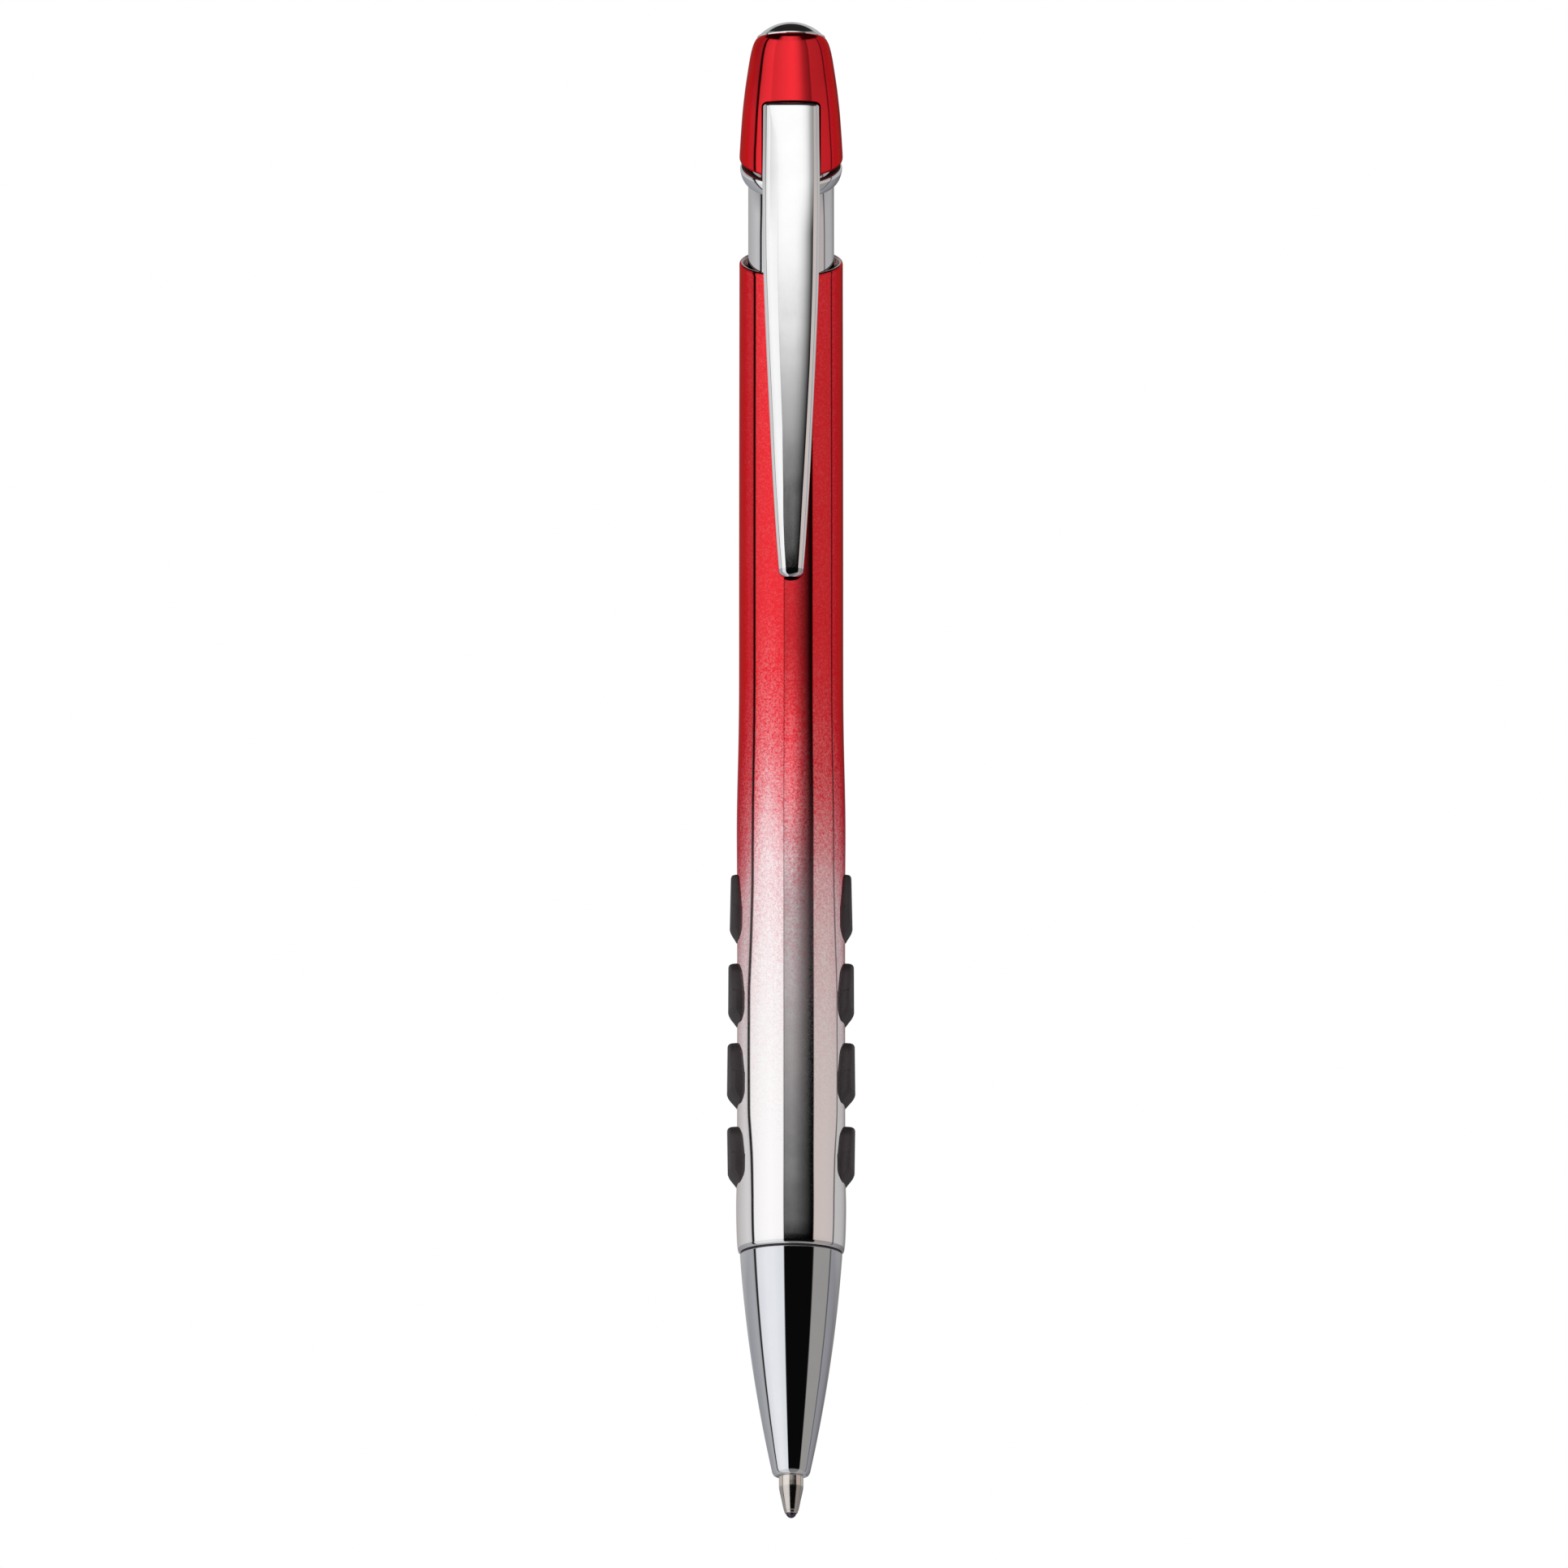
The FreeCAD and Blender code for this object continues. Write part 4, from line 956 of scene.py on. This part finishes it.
# (z, width of the flank at the left edge)
LEFT_FLANK = [
    (88.6, 0.66), (92, 0.72), (94.5, 0.80), (97.5, 0.97), (100.5, 1.08), (103, 1.17),
    (112, 1.25), (121, 1.42), (128, 1.50), (131, 1.30), (134.2, 0.62),
]
# (z, width of the flank at the right edge)
RIGHT_FLANK = [
    (88.6, 0.53), (91, 0.56), (94, 0.60), (97, 0.62), (103, 0.57), (109, 0.53), (112, 0.55),
    (121, 0.62), (134, 0.56),
]
# (z, scale of the crowned middle's steps across)
CROWN_SCALE = [
    (88.6, 0.30), (92, 0.38), (94, 0.50), (97, 0.65), (103, 0.90), (109, 1.0), (134, 1.0),
]
# (distance in from the edge, degrees that the face turns from the front, + to the right)
LEFT_SECTION = [
    (0.0, -84), (0.02, -72), (0.06, -58), (0.14, -53), (0.25, -51), (0.285, -47), (0.32, -42),
    (0.36, -39), (0.46, -35), (0.62, -27), (0.80, -20),
]
RIGHT_SECTION = [
    (0.0, 84), (0.02, 72), (0.06, 60), (0.13, 56), (0.19, 53), (0.225, 50), (0.26, 44),
    (0.30, 39), (0.42, 35),
]
# (distance in from the right flank, degrees) over the crown
CROWN_SECTION = [
    (0.0, 21.5), (0.16, 18.5), (0.32, 15), (0.48, 12), (0.64, 9.6), (0.80, 7.4), (0.96, 5.8),
    (1.12, 4.2), (1.28, 2.8), (1.50, 1.2),
]
LEFT_COLS = 16              # columns left of the crown
FACE_DEPTH = 0.80           # most that the face falls back
# (distance in from the edge, depth) round the folded edge, then across the back
BACK_EDGE = [(0, 1.00), (0.05, 1.08), (0.16, 1.12), (0.28, 1.09), (0.34, 1.02)]
BACK_SOLID = [(0.36, 1.0), (0.5, 1.0), (0.95, 1.0)]
BACK_HOLLOW = [(0.38, 0.90), (0.50, 0.78), (0.95, 0.60)]
BACK_MIDDLE_SOLID, BACK_MIDDLE_HOLLOW = 1.0, 0.44   # depth at the middle
BACK_MIDDLE_X = 0.12        # the back's columns stay at least this far from the middle
SOLID_BELOW = 90.3
ROUNDED_END = 0.42          # the corners' inset at both ends
# (z, inset of each edge) round the lower end
CLIP_LOWER_END = [
    (88.88, ROUNDED_END), (88.92, 0.33), (89.03, 0.20), (89.18, 0.07), (89.33, 0.0),
    (89.7, 0.0), (90.0, 0.0),
]


def clip_stations():
    """(z, inset of each edge) up the strip."""
    stations = CLIP_LOWER_END + [(z, 0.0) for z in np.linspace(90.4, 134.0, 150)]
    for k in range(9):
        a = k / 8.0 * math.pi / 2
        stations.append((134.12 + ROUNDED_END * math.sin(a), ROUNDED_END * (1 - math.cos(a))))
    return stations


def clip_section(half_width, z):
    """The face from left to right as x and normal angles: flat rim, crease,
    hollow-ground flank and crowned middle."""
    left_w = min(lerp_table(LEFT_FLANK, z), 0.72 * half_width)
    right_w = min(lerp_table(RIGHT_FLANK, z), 0.80 * half_width)
    scale = lerp_table(CROWN_SCALE, z)
    left = [(t, q) for t, q in LEFT_SECTION if t < left_w - 0.10]
    left += [(left_w - 0.06, -10.5), (left_w - 0.012, -8.6), (left_w + 0.012, -6.6)]
    left += [(left_w + 0.10 * scale, -5.0), (left_w + 0.45 * scale, -1.5)]
    left = np.array(left)
    # an even number of columns, whatever the flank's width has kept
    spots = np.linspace(0, 1, LEFT_COLS)
    given = np.linspace(0, 1, len(left))
    xs = list(np.interp(spots, given, left[:, 0] - half_width))
    angles = list(np.interp(spots, given, left[:, 1]))

    right = RIGHT_SECTION + [(right_w - 0.12, 30), (right_w - 0.05, 26.5), (right_w - 0.02, 24.0)]
    right += [(right_w + t * scale, q) for t, q in CROWN_SECTION]
    # keep the columns in order where the strip is narrow
    low = xs[-1] + 0.02
    for t, angle in reversed(right):
        x = max(half_width - t, low)
        xs.append(x)
        angles.append(angle)
        low = x + 0.004
    return np.array(xs), np.array(angles)


def face_depths(xs, angles):
    """How far the face lies behind its foremost point, from its slopes."""
    slope = np.tan(np.radians(np.clip(np.abs(angles), 0, 76)))
    mid = int(np.argmin(np.abs(angles)))
    depth = np.zeros(len(xs))
    for i in range(mid + 1, len(xs)):
        depth[i] = depth[i - 1] + 0.5 * (slope[i] + slope[i - 1]) * (xs[i] - xs[i - 1])
    for i in range(mid - 1, -1, -1):
        depth[i] = depth[i + 1] + 0.5 * (slope[i] + slope[i + 1]) * (xs[i + 1] - xs[i])
    return depth * min(1.0, FACE_DEPTH / max(depth.max(), 1e-6))


def clip_back(half_width, solid):
    """(x, depth) from the right edge round the back to the left edge."""
    edge = BACK_EDGE + (BACK_SOLID if solid else BACK_HOLLOW)
    right = [(half_width - t, d) for t, d in edge]
    right[-1] = (max(right[-1][0], BACK_MIDDLE_X), right[-1][1])
    middle = (0.0, BACK_MIDDLE_SOLID if solid else BACK_MIDDLE_HOLLOW)
    return right + [middle] + [(-x, d) for x, d in reversed(right)]


def build_clip():
    stations = clip_stations()
    rings, ring_angles = [], []
    for z, inset in stations:
        half_width = float(np.interp(z, *CLIP_HALF_WIDTH)) - inset
        face_y = float(np.interp(z, *CLIP_FACE))
        # both ends curl back
        if z > 134.05:
            face_y += 0.30 * ((z - 134.05) / 0.49) ** 2
        if z < 89.5:
            face_y += 0.14 * ((89.5 - z) / 0.6) ** 2
        xs, angles = clip_section(half_width, z)
        ring = [(x, face_y + d, z) for x, d in zip(xs, face_depths(xs, angles))]
        # the strip thins a little towards its root in the cap
        thin = 1.0 - 0.10 * min(max((z - 129.0) / 4.0, 0.0), 1.0)
        back = clip_back(half_width, z < SOLID_BELOW)
        rings.append(ring + [(x, face_y + d * thin, z) for x, d in back])
        ring_angles.append(angles)

    def tuned_normals(normals):
        normals = normals.copy()
        for i, (z, _) in enumerate(stations):
            if z > 134.06 or z < 89.45:
                continue
            turn = np.radians(ring_angles[i][1:-1])
            face = slice(1, len(turn) + 1)
            tilt = math.radians(lerp_table(FACE_TILT, z))
            normals[i, face, 0] = np.sin(turn) * math.cos(tilt)
            normals[i, face, 1] = -np.cos(turn) * math.cos(tilt)
            normals[i, face, 2] = math.sin(tilt)
        return normals

    grid_object(
        "clip_strip", np.array(rings), "clip_arm", False, corners=(0, -1),
        normal_fn=tuned_normals, replaces="clip", slot="chrome_plate", materials=[chrome_clip],
    )


build_clip()

# contact nub pressed into the clip's lower end, pointing back at the barrel
NUB_R, NUB_HEIGHT, NUB_ROOT = 0.55, 0.62, 0.45
NUB_Y, NUB_Z = -5.535, 91.3
NUB_COLS = 40


def build_nub():
    rows = [(NUB_R, -NUB_ROOT)]
    for k in range(9):
        a = k / 8.0 * math.pi / 2
        rows.append((max(NUB_R * math.cos(a), 0.004), NUB_HEIGHT * math.sin(a)))
    points = np.zeros((len(rows), NUB_COLS, 3))
    for i, (r, rise) in enumerate(rows):
        for j in range(NUB_COLS):
            a = -2 * math.pi * j / NUB_COLS
            points[i, j] = (r * math.cos(a), NUB_Y + rise, NUB_Z + r * math.sin(a))
    grid_object(
        "clip_nub", points, "clip_arm", False, corners=(0, 1),
        slot="chrome_plate", materials=[chrome_clip],
    )


build_nub()

# =====================================================================
# Rubber grips: four pads up each side of the barrel
# =====================================================================

GRIP_SEAT_R = 5.08          # barrel radius under the pads
# z top, z bottom, half arc near the top, half arc lower down, outer radius at top and bottom
PADS = [
    (61.45, 55.05, 0.92, 1.62, 5.66, 5.80),
    (52.95, 47.05, 1.62, 2.28, 5.90, 5.93),
    (45.35, 39.25, 1.66, 2.30, 5.98, 6.05),
    (37.35, 31.65, 1.66, 2.20, 6.03, 5.95),
]
CORNER_REACH = [0.35, 0.50, 0.9, 0.42]      # down one side of the outline
TIP_REACH = 0.3
# (inset, height) of the rings at the foot of the wall, in mm from the barrel
PAD_FOOT = [(0.0, -0.62), (0.0, -0.06), (0.0, 0.05)]
# (inset, share of the pad's height) up the wall and over the edge
PAD_WALL = [(0.015, 0.35), (0.04, 0.60), (0.09, 0.78), (0.16, 0.89), (0.26, 0.96), (0.36, 0.99)]
PAD_RINGS = [(*q, False) for q in PAD_FOOT] + [(*q, True) for q in PAD_WALL]
LOWER_SLOPE = 0.95          # how far the lower end slopes back over the pad's height
FACE_RINGS = (0.85, 0.65, 0.42, 0.2, 0.0)   # arcs of the rings that close the face


def pad_outline(top, bottom, half_top, half_low):
    """(arc, z) round the pad, with eased corners."""
    side = [
        (0.62, top), (half_top, top - 0.75), (half_low, top - (top - bottom) * 0.52),
        (half_low * 0.98, bottom + 0.15),
    ]
    corners = side + [(0.0, bottom - 0.12)] + [(-x, z) for x, z in reversed(side)]
    reaches = CORNER_REACH + [TIP_REACH] + CORNER_REACH[::-1]
    out = []
    for i, (corner, reach) in enumerate(zip(corners, reaches)):
        out += round_corner(corners[i - 1], corner, corners[(i + 1) % len(corners)], reach)
    return out


def add_pad(bm, sign, top, bottom, half_top, half_low, r_top, r_bottom):
    """A pillow on the barrel: steep walls, an eased edge and a crowned face."""
    outline = pad_outline(top, bottom, half_top, half_low)
    middle = (top + bottom) / 2
    rings = []
    for inset, height, shared in PAD_RINGS:
        ring = []
        for x, z in outline:
            keep_x = max(abs(x) - inset, 0.0) / abs(x) if abs(x) > 1e-6 else 1.0
            inset_z = inset + (LOWER_SLOPE * height if shared and z < middle else 0.0)
            reach = abs(z - middle)
            z = middle + (z - middle) * (max(reach - inset_z, 0.0) / max(reach, 1e-6))
            t = (z - bottom) / (top - bottom)
            thickness = r_bottom + (r_top - r_bottom) * t - GRIP_SEAT_R
            r = GRIP_SEAT_R + (height * thickness if shared else height)
            a = x * keep_x / GRIP_SEAT_R
            place = (sign * r * math.cos(a) * MM, r * math.sin(a) * MM, z * MM)
            ring.append(bm.verts.new(place))
        rings.append(ring)
    edge = [(abs(v.co.x), v.co.y, v.co.z) for v in rings[-1]]
    for share in FACE_RINGS:
        ring = []
        for x, y, z in edge:
            r = math.hypot(x, y)
            a = math.atan2(y, x) * share
            ring.append(bm.verts.new((sign * r * math.cos(a), r * math.sin(a), z)))
        rings.append(ring)
    n = len(outline)
    for low, high in zip(rings, rings[1:]):
        for j in range(n):
            m = (j + 1) % n
            bm.faces.new((low[j], low[m], high[m], high[j]))
    bm.faces.new(rings[0][::-1])


def grip_pads(name, sign, node):
    bm = bmesh.new()
    for pad in PADS:
        add_pad(bm, sign, *pad)
    bmesh.ops.remove_doubles(bm, verts=bm.verts, dist=1.3e-5)
    bmesh.ops.dissolve_degenerate(bm, edges=bm.edges, dist=1e-7)
    bmesh.ops.recalc_face_normals(bm, faces=bm.faces)
    for face in bm.faces:
        face.smooth = True
    me = bpy.data.meshes.new(name)
    bm.to_mesh(me)
    bm.free()
    me.materials.append(rubber_mat)
    me.set_sharp_from_angle(angle=math.radians(50))
    ob = bpy.data.objects.new(name, me)
    scene.collection.objects.link(ob)
    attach(ob, "barrel_assembly")
    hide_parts(node)


grip_pads("grip_pads_right", 1.0, "grip_strip_right")
grip_pads("grip_pads_left", -1.0, "grip_strip_left")

# =====================================================================
# Studio room, painted on the world
# =====================================================================

# Each table is (degrees from the front, + to the right; level or RGB).
# Below the horizon and just above it:
LOW_ROOM = [
    (-180, 0.30), (-150, (0.315, 0.32, 0.345)), (-120, (0.36, 0.365, 0.39)),
    (-102, (0.41, 0.415, 0.44)), (-95, 0.38), (-92.5, 0.015), (-87.5, 0.015),
    (-85.5, (0.76, 0.77, 0.80)), (-60, (0.87, 0.88, 0.91)), (-42, (0.87, 0.88, 0.91)),
    (-24, (0.79, 0.81, 0.84)), (-17.2, (0.78, 0.80, 0.83)), (-16.2, 0.003), (51.0, 0.003),
    (53.5, (0.325, 0.315, 0.30)), (97.5, (0.325, 0.315, 0.305)), (99.5, 0.10), (102.0, 0.10),
    (104.0, (0.30, 0.30, 0.325)), (126, (0.27, 0.265, 0.29)), (144, (0.20, 0.195, 0.21)),
    (156, 0.17), (180, 0.2),
]
MID_ROOM = [
    (-180, 0.40), (-150, 0.50), (-126, 0.60), (-105, 0.70), (-94.5, 0.64), (-92.0, 0.012),
    (-86.5, 0.012), (-84.5, 0.95), (-66, 1.03), (-45, 1.08), (-17, 1.03), (-15.4, 0.0),
    (48.0, 0.0), (49.6, (0.64, 0.56, 0.54)), (72, (0.645, 0.575, 0.55)),
    (99.0, (0.60, 0.545, 0.53)), (100.6, 0.10), (103.2, 0.10), (104.8, 0.56), (130, 0.53),
    (144, 0.44), (156, 0.28), (180, 0.34),
]
# what stands in the middle room's gap: a lit card above, dark below
GAP_ACROSS = [
    (-180, 0.0), (-15.6, 0.0), (-14.6, 0.95), (-4, 1.0), (1, 1.0), (6, 0.90), (12, 0.75),
    (18, 0.57), (24, 0.40), (30, 0.265), (36, 0.14), (40, 0.045), (45, 0.012), (48.0, 0.0),
    (180, 0.0),
]
# (degrees above GAP_FOOT, level)
GAP_UPWARDS = [
    (0.0, 0.004), (1.0, 0.006), (1.2, 0.022), (1.4, 0.052), (1.6, 0.098), (1.8, 0.18),
    (2.0, 0.35), (2.2, 0.58), (2.4, 0.79), (2.6, 0.91), (3.0, 0.99), (4.0, 1.06), (7.0, 1.12),
]
GAP_FOOT, GAP_HEIGHT = 9.0, 7.0     # degrees
HIGH_ROOM = [
    (-180, 0.52), (-130, 0.46), (-97, 0.42), (-93, 0.02), (-86.5, 0.02), (-84, 0.74),
    (-68, 0.95), (-52, 1.04), (-48.5, 0.84), (-42, 0.86), (-24, 1.0), (0, 1.16), (10, 1.12),
    (18, 0.99), (24, 0.83), (30, 0.62), (36, 0.46), (45, 0.33), (51, 0.24),
    (53.5, (0.56, 0.52, 0.50)), (92.0, (0.50, 0.46, 0.45)), (97.0, (0.46, 0.42, 0.41)),
    (98.5, 0.12), (102.0, 0.12), (104.0, 0.46), (130, 0.48), (180, 0.52),
]
TOP_ROOM = [
    (-180, 0.02), (-110, 0.02), (-97, 0.02), (-90, 0.02), (-49, 0.012), (-43, 0.25), (-30, 0.8),
    (0, 1.05), (20, 0.75), (34, 0.34), (42, 0.05), (60, 0.03), (98, 0.03), (110, 0.02),
    (180, 0.02),
]
# degrees of elevation over which one part of the room gives way to the next
TO_LOW, TO_HIGH, TO_TOP, TO_OVERHEAD = (10.2, 6.2), (16.0, 22.0), (41.0, 46.0), (58.0, 63.0)
TO_FLOOR = (-24.0, -34.0)
OVERHEAD = (0.022, 0.016, 0.016)
FLOOR_BOUNCE = (0.44, 0.44, 0.45)


def build_world():
    world = bpy.data.worlds.new("studio")
    scene.world = world
    world.use_nodes = True
    k = Graph(world.node_tree)
    k.tree.nodes.clear()
    xyz = k.split(k.coords("Generated"))
    turn = k.turn(xyz)
    elevation = k.math("DIVIDE", k.math("ARCSINE", xyz["Z"]), math.pi / 180.0)

    low_room = k.ramp(turn, by_turn(LOW_ROOM))
    mid_room = k.ramp(turn, by_turn(MID_ROOM))
    gap_across = k.ramp(turn, by_turn(GAP_ACROSS))
    above_foot = k.math("SUBTRACT", elevation, GAP_FOOT)
    gap_upwards = k.ramp(
        k.math("DIVIDE", above_foot, GAP_HEIGHT, clamp=True),
        [(degrees / GAP_HEIGHT, level) for degrees, level in GAP_UPWARDS],
    )
    high_room = k.ramp(turn, by_turn(HIGH_ROOM))
    top_room = k.ramp(turn, by_turn(TOP_ROOM))

    gap = k.mix(1.0, gap_across, gap_upwards, kind="MULTIPLY")
    room = k.mix(1.0, mid_room, gap, kind="ADD")
    room = k.mix(k.remap(elevation, source=TO_LOW), room, low_room)
    room = k.mix(k.remap(elevation, source=TO_HIGH), room, high_room)
    room = k.mix(k.remap(elevation, source=TO_TOP), room, top_room)
    room = k.mix(k.remap(elevation, source=TO_OVERHEAD), room, OVERHEAD)
    bounce = k.mix(0.45, low_room, FLOOR_BOUNCE)
    room = k.mix(k.remap(elevation, source=TO_FLOOR), room, bounce)

    # the camera itself sees plain white
    path = k.node("ShaderNodeLightPath")
    lit = k.node("ShaderNodeBackground")
    k.feed(lit.inputs["Color"], room)
    white = k.node("ShaderNodeBackground")
    k.feed(white.inputs["Color"], (1, 1, 1))
    choice = k.node("ShaderNodeMixShader")
    k.feed(choice.inputs[0], path.outputs["Is Camera Ray"])
    k.feed(choice.inputs[1], lit.outputs[0])
    k.feed(choice.inputs[2], white.outputs[0])
    k.feed(k.node("ShaderNodeOutputWorld").inputs[0], choice.outputs[0])


build_world()

# =====================================================================
# Floor, light and camera (metres)
# =====================================================================

FLOOR_R, FLOOR_Z, FLOOR_SIDES = 4.0, -0.20, 96
KEY_PLACE = (-0.75, -0.65, 0.35)
KEY_TARGET = (0, 0, 0.07)
CAMERA_ELEVATION = math.radians(-11.0)      # the camera is low and looks up the pen
CAMERA_DISTANCE = 0.6
VIEW_SPAN = 0.147143945
AIM_UP = 0.0688880426       # from the pen's tip to the view's centre
AIM_LEFT = 0.000670220868


def build_floor():
    """A pale disc well below the pen, because the camera looks up at it."""
    me = bpy.data.meshes.new("floor")
    angles = [2 * math.pi * k / FLOOR_SIDES for k in range(FLOOR_SIDES)]
    rim = [(FLOOR_R * math.cos(a), FLOOR_R * math.sin(a), FLOOR_Z) for a in angles]
    me.from_pydata(rim, [], [tuple(range(FLOOR_SIDES))])
    floor = bpy.data.objects.new("floor", me)
    scene.collection.objects.link(floor)
    floor.visible_glossy = False
    k = Material("floor_paper")
    cloud = k.noise(scale=3.0, detail=3.0, rough=0.5)
    k.set("Base Color", k.mix(cloud, (0.90, 0.90, 0.90), (0.94, 0.94, 0.94)))
    k.set("Roughness", 0.95)
    k.set("Emission Color", (1, 1, 1))
    k.set("Emission Strength", 0.62)
    me.materials.append(k.data)


def build_key_light():
    key = bpy.data.lights.new("soft_key", "AREA")
    key.shape = "RECTANGLE"
    key.size, key.size_y = 0.5, 0.6
    key.energy = 1.1
    ob = bpy.data.objects.new("soft_key", key)
    ob.location = KEY_PLACE
    ob.rotation_mode = "QUATERNION"
    ob.rotation_quaternion = (Vector(KEY_TARGET) - ob.location).to_track_quat("-Z", "Y")
    ob.visible_glossy = False
    scene.collection.objects.link(ob)


def build_camera():
    """Parallel rays, as from a very long lens."""
    cam = bpy.data.cameras.new("camera")
    cam.type = "ORTHO"
    cam.ortho_scale = VIEW_SPAN
    cam.sensor_width = 36.0
    cam.lens = 120.0
    cam.clip_start, cam.clip_end = 0.05, 20.0
    ob = bpy.data.objects.new("camera", cam)
    scene.collection.objects.link(ob)
    sin, cos = math.sin(CAMERA_ELEVATION), math.cos(CAMERA_ELEVATION)
    to_camera = Vector((0.0, -cos, sin))
    view_up = Vector((0.0, sin, cos))
    aim = view_up * AIM_UP - Vector((AIM_LEFT, 0.0, 0.0))
    ob.location = aim + to_camera * CAMERA_DISTANCE
    ob.rotation_mode = "QUATERNION"
    ob.rotation_quaternion = (-to_camera).to_track_quat("-Z", "Y")
    scene.camera = ob


build_floor()
build_key_light()
build_camera()

bpy.context.view_layer.update()
